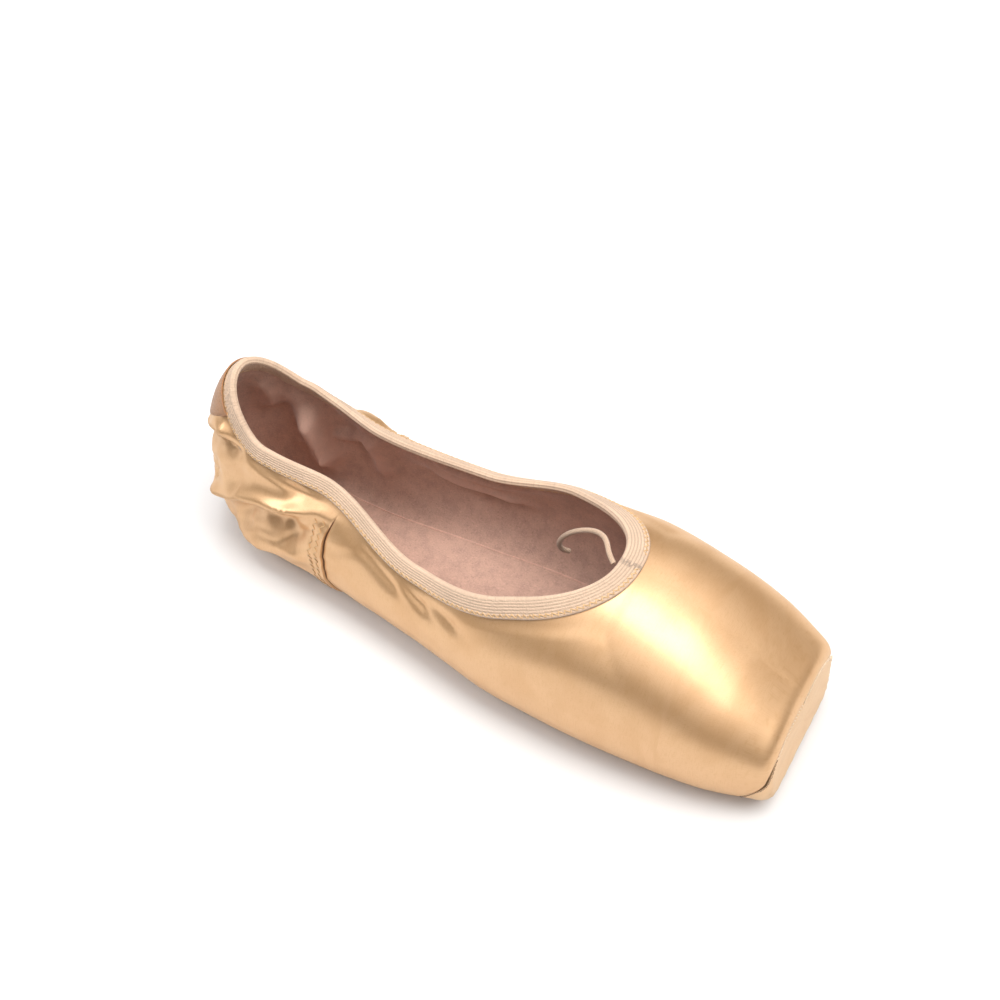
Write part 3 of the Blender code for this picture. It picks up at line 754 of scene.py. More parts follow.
def binding_width(walk):
    """The binding's outside width, narrower along the quarters than at the throat."""
    wide = ease((np.asarray(walk) / LAST_LENGTH - NARROW_UNTIL) / NARROW_FADE)
    return BINDING_WIDTH * (NARROW_BINDING + (1 - NARROW_BINDING) * wide)


def clear_of_binding(walk, up):
    """From 0 under the binding to 1 past its edge."""
    throat = THROAT * LAST_LENGTH
    below = np.maximum(collar_height(walk) - up, walk - throat) - binding_width(walk)
    return ease((below + 1.0 * MM) / (4 * MM))


def binding_rows(walks, distances):
    """Rows on the last under the binding's outside, drawn in where the binding is narrow."""
    count = 14
    laid = rows_from_collar(walks, np.linspace(0, BINDING_WIDTH, count))
    stacks = [np.stack([row[k] for row in laid]) for k in range(3)]
    column_at = np.arange(len(walks))
    rows = []
    for distance in distances:
        at = distance * binding_width(walks) / BINDING_WIDTH**2 * (count - 1)
        k = np.clip(at.astype(int), 0, count - 2)
        t = (at - k)[:, None]
        ends = [(stack[k, column_at], stack[k + 1, column_at]) for stack in stacks]
        rows.append([low * (1 - t) + high * t for low, high in ends])
        if distance == 0:
            rows[-1] = [stack[0] for stack in stacks]
    return rows


def sheet_object(name, grids, attributes=(), closed=False, middles=None):
    """One mesh through grids of points, one grid for each half, welded where they meet."""
    points, faces, values = [], [], [[] for _ in attributes]
    for index, grid in enumerate(grids):
        rows, columns = grid.shape[:2]
        start = len(points)
        points += [tuple(p) for p in grid.reshape(-1, 3)]
        for k, (_, data) in enumerate(attributes):
            values[k].append(data[index].reshape(-1))
        r, c = np.meshgrid(np.arange(rows - 1), np.arange(columns if closed else columns - 1))
        r, c = r.T.reshape(-1), c.T.reshape(-1)
        after = (c + 1) % columns
        near, far = start + r * columns, start + (r + 1) * columns
        quads = np.stack([near + c, near + after, far + after, far + c], 1)
        if index == 1:
            quads = quads[:, ::-1]
        faces += quads.tolist()
        if middles is not None:
            last = start + (rows - 1) * columns
            fan = [(last + k, last + k + 1, len(points)) for k in range(columns - 1)]
            faces += [f[::-1] if index == 1 else f for f in fan]
            points.append(tuple(middles))
            for k in range(len(attributes)):
                values[k].append(np.zeros(1))
    mesh = bpy.data.meshes.new(name)
    mesh.from_pydata(points, [], faces)
    for (label, _), data in zip(attributes, values):
        layer = mesh.attributes.new(label, "FLOAT", "POINT")
        layer.data.foreach_set("value", np.concatenate(data).astype(np.float32))
    piece = bpy.data.objects.new(name, mesh)
    bpy.context.scene.collection.objects.link(piece)
    edit_all(piece, (bpy.ops.mesh.remove_doubles, {"threshold": WELD}))
    mesh.transform(Matrix.Translation(Vector(SHIFT)))
    return piece


def choose(piece):
    """Makes a piece the only one selected and active."""
    bpy.ops.object.select_all(action="DESELECT")
    piece.select_set(True)
    bpy.context.view_layer.objects.active = piece


def edit_all(piece, *jobs):
    """Runs mesh operators, each with its values, on the whole of a piece."""
    choose(piece)
    bpy.ops.object.mode_set(mode="EDIT")
    bpy.ops.mesh.select_all(action="SELECT")
    for operator, values in jobs:
        operator(**values)
    bpy.ops.object.mode_set(mode="OBJECT")


def apply_all(piece):
    choose(piece)
    for modifier in list(piece.modifiers):
        bpy.ops.object.modifier_apply(modifier=modifier.name)


def thicken(piece, thickness, offset):
    wall = piece.modifiers.new("wall", "SOLIDIFY")
    wall.thickness = thickness
    wall.offset = offset
    wall.use_even_offset = False
    apply_all(piece)


def shade(piece, angle):
    choose(piece)
    bpy.ops.object.shade_smooth_by_angle(angle=math.radians(angle))


def dress(piece, material, node=None):
    """Gives a finished piece its material and the node that it stands for."""
    piece.data.materials.clear()
    piece.data.materials.append(material)
    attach(piece, "root")
    if node:
        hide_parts(node)
    return piece


def both_sides(points, heights, normal, side):
    placed = points + normal * heights[..., None]
    return placed * (1, side, 1)


def satin_heights(walk, level, points, side, to_seam):
    """How far the satin stands off the last on one side, with its seams' dark marks: their dark
    thread and glue, and painted shade in the seam gaps.
    """
    up = points[..., 2]
    clear = clear_of_binding(walk, up)
    past = (walk - WING_SEAM * LAST_LENGTH - EDGE_STEP / 2) / SEAM_GROOVE_WIDTH
    within = (past > -TINY) & (past < 1 + TINY)
    groove = np.where(within, np.cos(np.clip(past, 0, 1) * QUARTER_TURN), 0)
    groove = groove * clear * ease(level + 1.2)
    lip = ease(1 - to_seam / (0.8 * MM))
    height = wall_thickness(walk, level, up) - SEAM_GROOVE * groove - PANEL_GROOVE * lip
    height = height + pleats(walk, level, points) - TUCK * (1 - clear)
    calm = clear * ease((level + 1.0) / 0.5) * ease(up / (9 * MM))
    rumple = soft_noise(points * (1, side, 1), RUMPLE_SIZE, 3.1) * RUMPLE
    rumple = rumple * (1 - ease((walk - RUMPLE_FADE_FROM) / RUMPLE_FADE) * RUMPLE_LOSS)
    sharp = 1 - ease((walk - CRUMPLE_FADE_FROM) / CRUMPLE_FADE)
    rumple = rumple + crumple(walk, up, side) * sharp
    height = height + (fold_heights(FOLDS, side, walk, up) * FOLD_STRENGTH + rumple) * calm
    return height, np.maximum(groove, 0.4 * lip * toe_seam_mark(level))


def toe_seam_mark(level):
    """The toe's seam is dark in its lower part only, as painted shade where it turns under the toe.
    """
    return 0.15 + 0.85 * ease((0.45 - level) / 0.3)


def satin_shell():
    """The outer satin's half surfaces on both sides, with the marks of its seams."""
    walk, level, points, around, to_seam = half_shell(SATIN_STEP, SATIN_COLUMNS)
    normal = grid_normals(points)
    grids = []
    for side in (1, -1):
        height, mark = satin_heights(walk, level, points, side, to_seam)
        grids.append(both_sides(points, height, normal, side))
    return walk, around, grids, mark


def row_lengths(grid):
    """How far each row lies from the heel, measured along the widest column."""
    return way_along(grid[:, grid.shape[1] // 3])


def build_satin(shoe):
    walk, around, grids, mark = satin_shell()
    along = np.repeat(row_lengths(grids[0])[:, None], walk.shape[1], 1)
    piece = sheet_object(
        "satin_upper",
        grids,
        (("along", (along, along)), ("around", (around, -around)), ("gap", (mark, mark))),
    )
    thicken(piece, SATIN_THICKNESS, -1)
    shade(piece, 60)
    return dress(piece, satin("peach satin", shoe.satin_colour, shoe.gap_colour), "upper")


def panel_rings():
    """The toe's rings from its seam to the face's middle, with levels and ways from the seam."""
    level, _ = even_levels(LAST_LENGTH - PANEL_BLEND, SATIN_COLUMNS)
    lines, ways, arc, seam = toe_lines(level)
    start = seam + TOE_GAP / 2
    share = np.linspace(0, 0.97, PANEL_RINGS + 1)[:, None] ** PANEL_RING_POWER
    at = start + (arc[-1] - start) * share
    rings, way = along_lines(lines, ways, arc, at)
    return rings, way, level, at - start


def panel_heights(rings, way, level, beyond):
    low = wall_thickness(way, level, rings[..., 2])
    height = low + (BOX_WALL - low) * ease(beyond / (7 * MM))
    return height - PANEL_GROOVE * ease(1 - beyond / (0.9 * MM))


def build_toe_panel(shoe):
    rings, way, level, beyond = panel_rings()
    normal = grid_normals(rings)
    level = np.repeat(level[None], len(rings), 0)
    height = panel_heights(rings, way, level, beyond)
    # The seam's edge takes the gap colour, deepest low on the toe as painted shade
    mark = 0.35 * ease(1 - beyond / (0.4 * MM)) * toe_seam_mark(level)
    grids = []
    for side in (1, -1):
        dent = soft_noise(rings * (1, side, 1), TOE_DENT_SIZE, 8.3) * TOE_DENT
        dent = dent * ease(beyond / (3 * MM))
        grids.append(both_sides(rings, height + dent, normal, side))
    middle = np.array([0.0, 0.0, float(widest_height(LAST_LENGTH))])
    middle[0] = LAST_LENGTH + float(height[-1].mean())
    arc = np.repeat(np.linspace(0, 0.09, rings.shape[1])[None], len(rings), 0)
    piece = sheet_object(
        "toe_panel_satin",
        grids,
        (("along", (beyond, beyond)), ("around", (arc, -arc)), ("gap", (mark, mark))),
        middles=middle,
    )
    thicken(piece, TOE_CLOTH, -1)
    shade(piece, 60)
    material = satin("pale satin", shoe.toe_colour, shoe.gap_colour)
    return dress(piece, material, "toe_panel")


def closed_at_toe(grid):
    """The lining's rows with more that close it across the inside of the flat toe."""
    last = grid[-1]
    centre = np.array((last[:, 0].max() - TOE_END_DEPTH, 0.0, last[:, 2].min()))
    closing = [centre + (last - centre) * share for share in TOE_END_SHARES]
    return np.concatenate([grid, closing])


def build_lining(shoe):
    """The suede cloth that lines the upper."""
    walk, level, points, around, _ = half_shell(LINING_STEP, LINING_COLUMNS, LINING_LOWEST)
    normal = grid_normals(points)
    up = points[..., 2]
    calm = clear_of_binding(walk, up) * ease((level + 0.9) / 0.5)
    grids, shades = [], []
    for side in (1, -1):
        satin_height, _ = satin_heights(walk, level, points, side, np.full(walk.shape, 1.0))
        folds = fold_heights(LINING_FOLDS, side, walk, up) * shoe.lining_folds
        rumple = soft_noise(points * (1, side, 1), LINING_RUMPLE_SIZE, 5.7) * LINING_RUMPLE
        # The folds' heights go to the material, which paints shade in their troughs and light on
        # their crests
        shades.append((folds + rumple) / MM * calm)
        for offset in (-1, 1):
            strip = [(walk_mm + offset * STRIP_WIDTH / 2, z) for walk_mm, z in LINING_SEAM]
            ridge = ((side, STRIP_HEIGHT, STRIP_WIDTH / 2, strip),)
            folds = folds + fold_heights(ridge, side, walk, up)
        fullness = LINING_THICKNESS + np.maximum(folds + rumple, -LINING_THICKNESS)
        depth = -CLOTH_GAP - fullness * calm
        under_satin = satin_height - SATIN_THICKNESS - LINING_THICKNESS - CLOTH_GAP
        depth = np.minimum(depth, under_satin)
        grids.append(closed_at_toe(both_sides(points, depth, normal, side)))
    added = len(grids[0]) - len(points)
    padding = ((0, added), (0, 0))
    around, *shades = (np.pad(values, padding, "edge") for values in (around, *shades))
    along = np.repeat(row_lengths(grids[0])[:, None], walk.shape[1], 1)
    piece = sheet_object(
        "suede_lining",
        grids,
        (("along", (along, along)), ("around", (around, -around)), ("fold", shades)),
    )
    thicken(piece, LINING_THICKNESS, 1)
    shade(piece, 60)
    return dress(piece, suede("lining suede", shoe.lining_colour))


def binding_walks():
    throat = THROAT * LAST_LENGTH
    to_throat = throat - BINDING_CLOSE
    walks = [0.0] + steps(0.0, heel_pivot(), round(heel_pivot() * 1.5 / BINDING_STEP))
    walks += steps(walks[-1], to_throat, round((to_throat - walks[-1]) / BINDING_STEP))
    walks += slowing_steps(walks[-1], throat, round(56 * MM / BINDING_STEP))
    return np.array(walks)


def build_binding(shoe):
    """The ribbed elastic band, folded over the collar's edge."""
    walks = binding_walks()
    fine = shoe.rib_pitch / 4
    out_at = np.arange(0, BINDING_WIDTH + fine / 2, fine)
    in_at = np.arange(0, BINDING_INSIDE + fine / 2, fine)
    outside = binding_rows(walks, out_at)
    inside = rows_from_collar(walks, in_at)
    edge, normal, away = outside[0]
    near = QUARTER_WALL - TUCK + BAND_SEAT
    far = near + shoe.band_depth
    rows, across = [], []

    def add(points, mark):
        rows.append(points)
        across.append(mark)

    def ribbed(distance, last):
        wave = 0.5 + 0.5 * math.cos(2 * math.pi * distance / shoe.rib_pitch)
        rise = shoe.rib_height * wave * float(ease(distance / RIB_FADE))
        dip = float(ease((distance - last + EDGE_DIP_WIDTH) / EDGE_DIP_WIDTH))
        return rise - EDGE_DIP * dip

    for k in range(len(in_at) - 1, 0, -2):
        point, facing, _ = inside[k]
        add(point - facing * 0.05 * MM, -in_at[k])
    add(edge + normal * near - away * BAND_SEAT, 0.0)
    for k in range(2, len(out_at), 2):
        point, facing, _ = outside[k]
        add(point + facing * near, out_at[k])
    for k in range(len(out_at) - 1, 0, -1):
        point, facing, _ = outside[k]
        add(point + facing * (far + ribbed(out_at[k], out_at[-1])), out_at[k])
    depth = BAND_SEAT + shoe.band_depth
    middle, reach = (far - depth) / 2, (far + depth) / 2
    for turn in np.linspace(0, math.pi, BINDING_RIM_ROWS + 1):
        wave = 0.5 + 0.5 * math.cos(reach * turn / shoe.rib_pitch * 2 * math.pi)
        rise = shoe.rib_height * wave * math.sin(turn)
        out = normal * (middle + (reach + rise) * math.cos(turn))
        add(edge + out - away * (depth + rise) * math.sin(turn), 0.0)
    for k in range(1, len(in_at)):
        point, facing, _ = inside[k]
        add(point - facing * (depth + ribbed(in_at[k], in_at[-1])), -in_at[k])
    grid = np.stack(rows, 1)
    grid[[0, -1], :, 1] = 0.0
    marks = np.repeat(np.array(across)[None], len(walks), 0)
    run = way_along(edge)
    along = np.repeat(run[:, None], len(rows), 1)
    piece = sheet_object(
        "ribbed_binding",
        [grid, grid * (1, -1, 1)],
        (("along", (along, -along)), ("across", (marks, marks))),
        closed=True,
    )
    edit_all(piece, (bpy.ops.mesh.normals_make_consistent, {"inside": False}))
    shade(piece, 70)
    material = elastic(shoe.binding_colour, shoe.rib_pitch)
    return dress(piece, material, "collar_binding")


def build_heel_patch(shoe):
    """The suede patch under the binding on the back of the heel."""
    heel_walks = np.array([0.0] + steps(0.0, heel_pivot(), 30))
    out_edge = rows_from_collar(heel_walks, [float(binding_width(0.0)) - 1 * MM])[0][0]
    back_radius = rib(0.0, collar_level(0.0))[0] + QUARTER_WALL
    half = PATCH_WIDTH / 2 / back_radius / QUARTER_TURN * heel_pivot()
    walks = np.linspace(0, half, PATCH_COLUMNS)
    top = np.interp(walks, walk_and_out(out_edge)[0], out_edge[:, 2])
    grid = []
    for share in np.linspace(0, 1, PATCH_ROWS):
        bend = np.sqrt(1 - (walks / half) ** 2 * 0.55)
        at = walks * (1 - PATCH_TAPER * share)
        low = top[0] - PATCH_DROP * (0.35 + 0.65 * bend)
        up = top * (1 - share) + low * share
        point = place(at, *rib(at, level_at(at, up)))
        rim = np.minimum((half - walks) / half * 14, (1 - share) * 12)
        height = QUARTER_WALL + (0.15 + 0.75 * ease(np.clip(rim, 0, 1))) * MM
        grid.append(point + form_normal(point) * height[:, None])
        grid[-1][0, 1] = 0.0
    grid = np.array(grid)
    piece = sheet_object("suede_heel_patch", [grid[:, ::-1], (grid * (1, -1, 1))[:, ::-1]])
    thicken(piece, PATCH_CLOTH, -1)
    shade(piece, 60)
    return dress(piece, suede("patch suede", shoe.patch_colour), "heel_patch")


def node_copy(node, name, cuts):
    """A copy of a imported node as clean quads, cut finer without changing its form."""
    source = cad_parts[node]
    piece = bpy.data.objects.new(name, source.data.copy())
    bpy.context.scene.collection.objects.link(piece)
    edit_all(
        piece,
        (bpy.ops.mesh.remove_doubles, {"threshold": NODE_WELD}),
        (bpy.ops.mesh.tris_convert_to_quads, {"face_threshold": 0.7, "shape_threshold": 0.7}),
        (bpy.ops.mesh.subdivide, {"number_cuts": cuts}),
    )
    return piece


def build_insole(shoe):
    piece = node_copy("insole", "suede_insole", INSOLE_CUTS)
    for vertex in piece.data.vertices:
        p = vertex.co
        swell = noise.noise(Vector((p.x / 0.02, p.y / 0.014, 1.7))) * INSOLE_SWELL
        crease = INSOLE_CREASE * math.exp(-((p.y / INSOLE_CREASE_WIDTH) ** 2))
        if p.z > SOLE_THICKNESS + INSOLE_THICKNESS * 0.7:
            p.z += swell - crease
    shade(piece, 40)
    return dress(piece, suede("insole suede", shoe.lining_colour), "insole")


def build_insole_edge(shoe):
    """The pale seam along the insole's edge."""
    front = INSOLE_FRONT * LAST_LENGTH - INSOLE_FRONT_ROUND
    walks = np.linspace(heel_pivot(), front, 70)
    half = np.array([float(insole_half_width(walk)) for walk in walks]) - INSOLE_SEAM_INSET
    top = seat_height(walks) + INSOLE_THICKNESS + 0.3 * MM
    edge = np.stack([walks, half, top], 1)
    piece = stitch_mesh("insole_seam", [edge, edge * (1, -1, 1)], shoe.thread_radius * 2.4)
    return dress(piece, suede("insole seam", tint(shoe.lining_colour, 1.25)))


def build_outsole(shoe):
    piece = node_copy("outsole", "leather_outsole", OUTSOLE_CUTS)
    shade(piece, 30)
    return dress(piece, leather(shoe.leather_colour), "outsole")


def curve_object(name, runs, radius, roundness):
    """Round strands along runs of points, as one curve."""
    curve = bpy.data.curves.new(name, "CURVE")
    curve.dimensions = "3D"
    curve.bevel_depth = radius
    curve.bevel_resolution = roundness
    curve.use_fill_caps = True
    for run in runs:
        line = curve.splines.new("POLY")
        line.points.add(len(run) - 1)
        for knot, point in zip(line.points, run):
            knot.co = (*point, 1)
    piece = bpy.data.objects.new(name, curve)
    bpy.context.scene.collection.objects.link(piece)
    return piece


def stitch_mesh(name, stitches, radius):
    """Threads from short runs of points, as one mesh."""
    piece = curve_object(name, [np.array(run) + SHIFT for run in stitches], radius, 1)
    choose(piece)
    bpy.ops.object.convert(target="MESH")
    piece = bpy.context.object
    shade(piece, 60)
    return piece


def resampled(points, gap):
    run = way_along(points)
    at = np.linspace(0, run[-1], max(2, round(run[-1] / gap)))
    return np.stack([np.interp(at, run, points[:, k]) for k in range(3)], 1)


def build_binding_stitches(shoe):
    """The zigzag that sews the binding down, and the plain row on its inner edge."""
    walks = binding_walks()
    low = binding_rows(walks, [BINDING_WIDTH - inset for inset in ZIGZAG_EDGES])
    height = QUARTER_WALL - TUCK + shoe.band_depth + 0.28 * MM
    stitches = []
    edges = [point + facing * height for point, facing, _ in low]
    lower, upper = (np.concatenate([e[:0:-1] * (1, -1, 1), e]) for e in edges)
    lower, upper = (resampled(line, ZIGZAG_PITCH) for line in (lower, upper))
    count = min(len(lower), len(upper))
    for k in range(0, count - 2, 2):
        u = np.clip(round((k + 1) * (len(upper) - 1) / (len(lower) - 1)), 0, len(upper) - 1)
        stitches.append([lower[k], (lower[k] + upper[u]) / 2, upper[u]])
        stitches.append([upper[u], (lower[k + 2] + upper[u]) / 2, lower[k + 2]])
    row = rows_from_collar(walks, [BINDING_INSIDE - INNER_ROW_FROM_EDGE])[0]
    inner = row[0] - row[1] * (shoe.band_depth + 0.2 * MM)
    inner = np.concatenate([inner[:0:-1] * (1, -1, 1), inner])
    inner = resampled(inner, INNER_ROW_PITCH)
    for k in range(0, len(inner) - 3, 3):
        stitches.append([inner[k], inner[k + 1], inner[k + 2]])
    piece = stitch_mesh("binding_stitches", stitches, shoe.thread_radius * 1.1)
    return dress(piece, thread("binding thread", shoe.thread_colour))


def build_seam_stitches(shoe):
    """Two zigzag rows on each quarter's folded edge, beside the wing seam."""
    seam = WING_SEAM * LAST_LENGTH
    stitches = []
    for side in (1, -1):
        top = float(collar_height(seam)) - BINDING_WIDTH - 0.6 * MM
        for back in WING_ROWS:
            heights = np.arange(WING_ROWS_FROM, top, WING_STITCH)
            for k in range(len(heights) - 1):
                ends = []
                for j in (k, k + 1):
                    walk = seam - back + (WING_SWAY if j % 2 else -WING_SWAY)
                    ends.append(side_point(walk, heights[j], side, WING_LIFT))
                middle = (ends[0] + ends[1]) / 2
                stitches.append([ends[0], middle, ends[1]])
    piece = stitch_mesh("wing_seam_stitches", stitches, shoe.thread_radius)
    return dress(piece, thread("seam thread", shoe.thread_colour))


def side_point(walk, up, side, lift):
    """A point at a height over the floor, lifted off the satin on one side."""
    widest, seat = float(widest_height(walk)), float(seat_height(walk))
    level = float(level_at(walk, up))
    if up < widest:
        share = min((widest - up) / (widest - seat), 1.0)
        level = math.acos(share ** (float(section("low", walk)) / 2)) / QUARTER_TURN - 1
    nudge, nominal, walk = 0.3 * MM, walk, float(bowed(walk, level))
    point = place(walk, *rib(walk, level))
    ahead = place(walk + nudge, *rib(walk + nudge, level))
    over = place(walk, *rib(walk, level + 0.01))
    normal = np.cross(over - point, ahead - point)
    normal = normal / np.linalg.norm(normal)
    height, _ = satin_heights(np.array([nominal]), np.array([level]), point[None], side, 1.0)
    return (point + normal * (height[0] + lift)) * (1, side, 1)


def build_toe_stitches(shoe):
    """Slanted stitches across the seam of the toe panel."""
    rings, way, level, beyond = panel_rings()
    normal = grid_normals(rings)
    height = panel_heights(rings, way, np.repeat(level[None], len(rings), 0), beyond)
    line = rings[0] + normal[0] * (height[2][:, None])
    inward = rings[3] - rings[0]
    inward = inward / np.linalg.norm(inward, axis=1, keepdims=True)
    run = way_along(line)
    pale, dark = [], []
    for side in (1, -1):
        for at in np.arange(1.0 * MM, run[-1] - 0.5 * MM, TOE_STITCH):
            k = np.searchsorted(run, at) - 1
            t = (at - run[k]) / (run[k + 1] - run[k])
            base = line[k] * (1 - t) + line[k + 1] * t
            slant = (line[k + 1] - line[k]) / (run[k + 1] - run[k]) * TOE_STITCH_SLANT
            across = inward[k] * TOE_STITCH_REACH
            # Stitches low on the toe, reaching higher on the wearer's right, take the seam-gap
            # colour as painted shade
            shaded = level[k] < (0.25 if side < 0 else -0.4)
            if shaded:
                slant, across = slant * 1.6, across * 0.15
            rise = normal[0][k] * TOE_STITCH_RISE
            shown = [base - across - slant, base + rise, base + across + slant]
            stitch = [p * (1, side, 1) for p in shown]
            (dark if shaded else pale).append(stitch)
    for name, stitches, colour, share in (
        ("pale", pale, shoe.toe_thread_colour, 1.1),
        ("dark", dark, shoe.gap_colour, 0.6),
    ):
        piece = stitch_mesh("toe_seam_stitches_" + name, stitches, shoe.thread_radius * share)
        dress(piece, thread(name + " toe thread", colour))


def build_drawstring(shoe):
    """The drawstring's loose end, from the binding at the throat to its curled tip."""
    route = np.array(CORD_ROUTE) * MM
    run = way_along(route)
    at = np.linspace(0, run[-1], CORD_POINTS)
    line = np.stack([natural_curve(run, route[:, axis], at) for axis in range(3)], 1) + SHIFT
    piece = curve_object("cotton_drawstring", [line], CORD_DIAMETER / 2, 4)
    dress(piece, cotton(shoe.cord_colour), "drawstring")
    return piece


def effect(name, inputs, outputs):
    """A node group with named sockets, or the one made already, and whether it is new."""
    if name in bpy.data.node_groups:
        return bpy.data.node_groups[name], None, None
    tree = bpy.data.node_groups.new(name, "ShaderNodeTree")
    for label, kind, value in inputs:
        socket = tree.interface.new_socket(label, in_out="INPUT", socket_type=kind)
        if value is not None:
            socket.default_value = value
    for label, kind in outputs:
        tree.interface.new_socket(label, in_out="OUTPUT", socket_type=kind)
    return tree, tree.nodes.new("NodeGroupInput"), tree.nodes.new("NodeGroupOutput")


def node(tree, kind, **values):
    made = tree.nodes.new(kind)
    for key, value in values.items():
        if hasattr(made, key):
            setattr(made, key, value)
        else:
            made.inputs[key.replace("_", " ").title()].default_value = value
    return made


def mix(tree, factor, first, second, blend="MIX"):
    """A colour mix whose three inputs are sockets or plain values."""
    made = tree.nodes.new("ShaderNodeMix")
    made.data_type = "RGBA"
    made.blend_type = blend
    for index, value in ((0, factor), (6, first), (7, second)):
        socket = made.inputs[index]
        if isinstance(value, bpy.types.NodeSocket):
            tree.links.new(value, socket)
        else:
            socket.default_value = value
    return made.outputs[2]


def spread(tree, value, low, high, to_low=0.0, to_high=1.0):
    """A value stretched from one span to another and clipped there."""
    made = tree.nodes.new("ShaderNodeMapRange")
    made.interpolation_type = "SMOOTHSTEP"
    for index, number in ((1, low), (2, high), (3, to_low), (4, to_high)):
        made.inputs[index].default_value = number
    tree.links.new(value, made.inputs[0])
    return made.outputs[0]


def noise_at(tree, vector, scale, detail=2.0, roughness=0.5):
    made = node(tree, "ShaderNodeTexNoise", Scale=scale, Detail=detail, Roughness=roughness)
    feed(made, Vector=vector)
    return made.outputs["Fac"]


def reading(tree, name):
    """One of a piece's own attributes."""
    return node(tree, "ShaderNodeAttribute", attribute_name=name).outputs["Fac"]


def stretched(tree, vector, scale):
    """A vector scaled by its own number on each axis."""
    made = node(tree, "ShaderNodeMapping")
    feed(made, Scale=scale, Vector=vector)
    return made.outputs[0]


def combined(tree, operation, first, second):
    """Two values joined by a sum or another operation."""
    made = node(tree, "ShaderNodeMath", operation=operation)
    for socket, value in zip(made.inputs, (first, second)):
        tree.links.new(value, socket)
    return made.outputs[0]


def bumped(tree, height, target, **values):
    """Raises the target's surface by a height, and returns the bump's node."""
    made = node(tree, "ShaderNodeBump", **values)
    feed(made, Height=height)
    feed(target, Normal=made.outputs[0])
    return made


def feed(made, **values):
    """Links or sets a node's inputs by their labels, with _ for a space."""
    for key, value in values.items():
        socket = made.inputs[key.replace("_", " ")]
        if isinstance(value, bpy.types.NodeSocket):
            made.id_data.links.new(value, socket)
        else:
            socket.default_value = value


SURFACE_SOCKETS = (
    ("Colour", "NodeSocketColor"),
    ("Roughness", "NodeSocketFloat"),
    ("Normal", "NodeSocketVector"),
)


def nap_effect():
    """Short fibres: patches brushed light and dark, flecks and a soft uneven surface."""
    tree, given, result = effect(
        "napped fibres",
        (
            ("Vector", "NodeSocketVector", None),
            ("Colour", "NodeSocketColor", None),
            ("Dark", "NodeSocketColor", None),
            ("Light", "NodeSocketColor", None),
            ("Bump", "NodeSocketFloat", 0.4),
        ),
        SURFACE_SOCKETS,
    )
    if given is None:
        return tree
    vector, colour, dark, light, strength = given.outputs[:5]
    patches = noise_at(tree, vector, 210.0, 4.0, 0.6)
    flecks = noise_at(tree, vector, 1500.0, 4.0, 0.7)
    fibres = noise_at(tree, vector, 3200.0, 3.0, 0.7)
    toned = mix(tree, spread(tree, patches, 0.36, 0.52, 0.22, 0.0), colour, dark)
    toned = mix(tree, spread(tree, patches, 0.50, 0.66, 0.0, 0.2), toned, light)
    toned = mix(tree, spread(tree, flecks, 0.50, 0.72, 0.0, 0.55), toned, light)
    toned = mix(tree, spread(tree, flecks, 0.28, 0.46, 0.6, 0.0), toned, dark)
    feed(result, Colour=toned, Roughness=spread(tree, patches, 0.3, 0.7, 0.82, 0.98))
    bump = bumped(tree, combined(tree, "ADD", flecks, fibres), result, Distance=0.25 * MM)
    feed(bump, Strength=strength)
    return tree


def thread_effect():
    """Fine threads that cross: a faint grain across the cloth and slight uneven tones."""
    tree, given, result = effect(
        "fine cross threads",
        (
            ("Vector", "NodeSocketVector", None),
            ("Colour", "NodeSocketColor", None),
            ("Dark", "NodeSocketColor", None),
            ("Bump", "NodeSocketFloat", 0.15),
        ),
        SURFACE_SOCKETS,
    )
    if given is None:
        return tree
    vector, colour, dark, strength = given.outputs[:4]
    warp = noise_at(tree, stretched(tree, vector, (700.0, 5200.0, 1.0)), 1.0, 2.0, 0.6)
    weft = noise_at(tree, stretched(tree, vector, (3600.0, 260.0, 1.0)), 1.0, 2.0, 0.6)
    broad = noise_at(tree, vector, 70.0, 2.0, 0.5)
    toned = mix(tree, spread(tree, broad, 0.35, 0.6, 0.28, 0.0), colour, dark)
    toned = mix(tree, spread(tree, warp, 0.3, 0.5, 0.42, 0.0), toned, dark)
    toned = mix(tree, spread(tree, weft, 0.3, 0.5, 0.3, 0.0), toned, dark)
    feed(result, Colour=toned, Roughness=spread(tree, warp, 0.2, 0.8, 0.31, 0.41))
    bump = bumped(tree, combined(tree, "ADD", warp, weft), result, Distance=0.08 * MM)
    feed(bump, Strength=strength)
    return tree


def new_material(name):
    made = bpy.data.materials.new(name)
    made.use_nodes = True
    tree = made.node_tree
    return made, tree, tree.nodes["Principled BSDF"]


def place_effect(tree, group, vector, **values):
    made = tree.nodes.new("ShaderNodeGroup")
    made.node_tree = group
    feed(made, Vector=vector, **values)
    return made


def object_place(tree):
    return node(tree, "ShaderNodeTexCoord").outputs["Object"]


def cloth_place(tree, across="around"):
    """The way along and round a piece, in metres, from its own attributes."""
    joined = node(tree, "ShaderNodeCombineXYZ")
    for index, name in enumerate(("along", across)):
        tree.links.new(reading(tree, name), joined.inputs[index])
    return joined.outputs[0]


def tint(colour, share):
    return tuple(channel * share for channel in colour[:3]) + (1.0,)


def warm_shade(colour):
    """The deeper, warmer tone of the satin's shaded threads."""
    red, green, blue = colour[:3]
    return (red * 0.80, green * 0.68, blue * 0.50, 1.0)


def satin(name, colour, gap_colour):
    made, tree, shader = new_material(name)
    cloth = place_effect(
        tree, thread_effect(), cloth_place(tree), Colour=colour, Dark=warm_shade(colour), Bump=0.22
    )
    # The seams take the gap colour: dark thread and glue, with painted shade in the gaps
    dark = spread(tree, reading(tree, "gap"), 0.25, 0.95)
    toned = mix(tree, dark, cloth.outputs["Colour"], tuple(gap_colour))
    rough = combined(tree, "MAXIMUM", cloth.outputs["Roughness"], dark)
    feed(shader, Base_Color=toned, Roughness=rough, Normal=cloth.outputs["Normal"])
    feed(shader, Metallic=0.5, IOR=2.5, Specular_Tint=(1.0, 0.94, 0.80, 1.0))
    return made


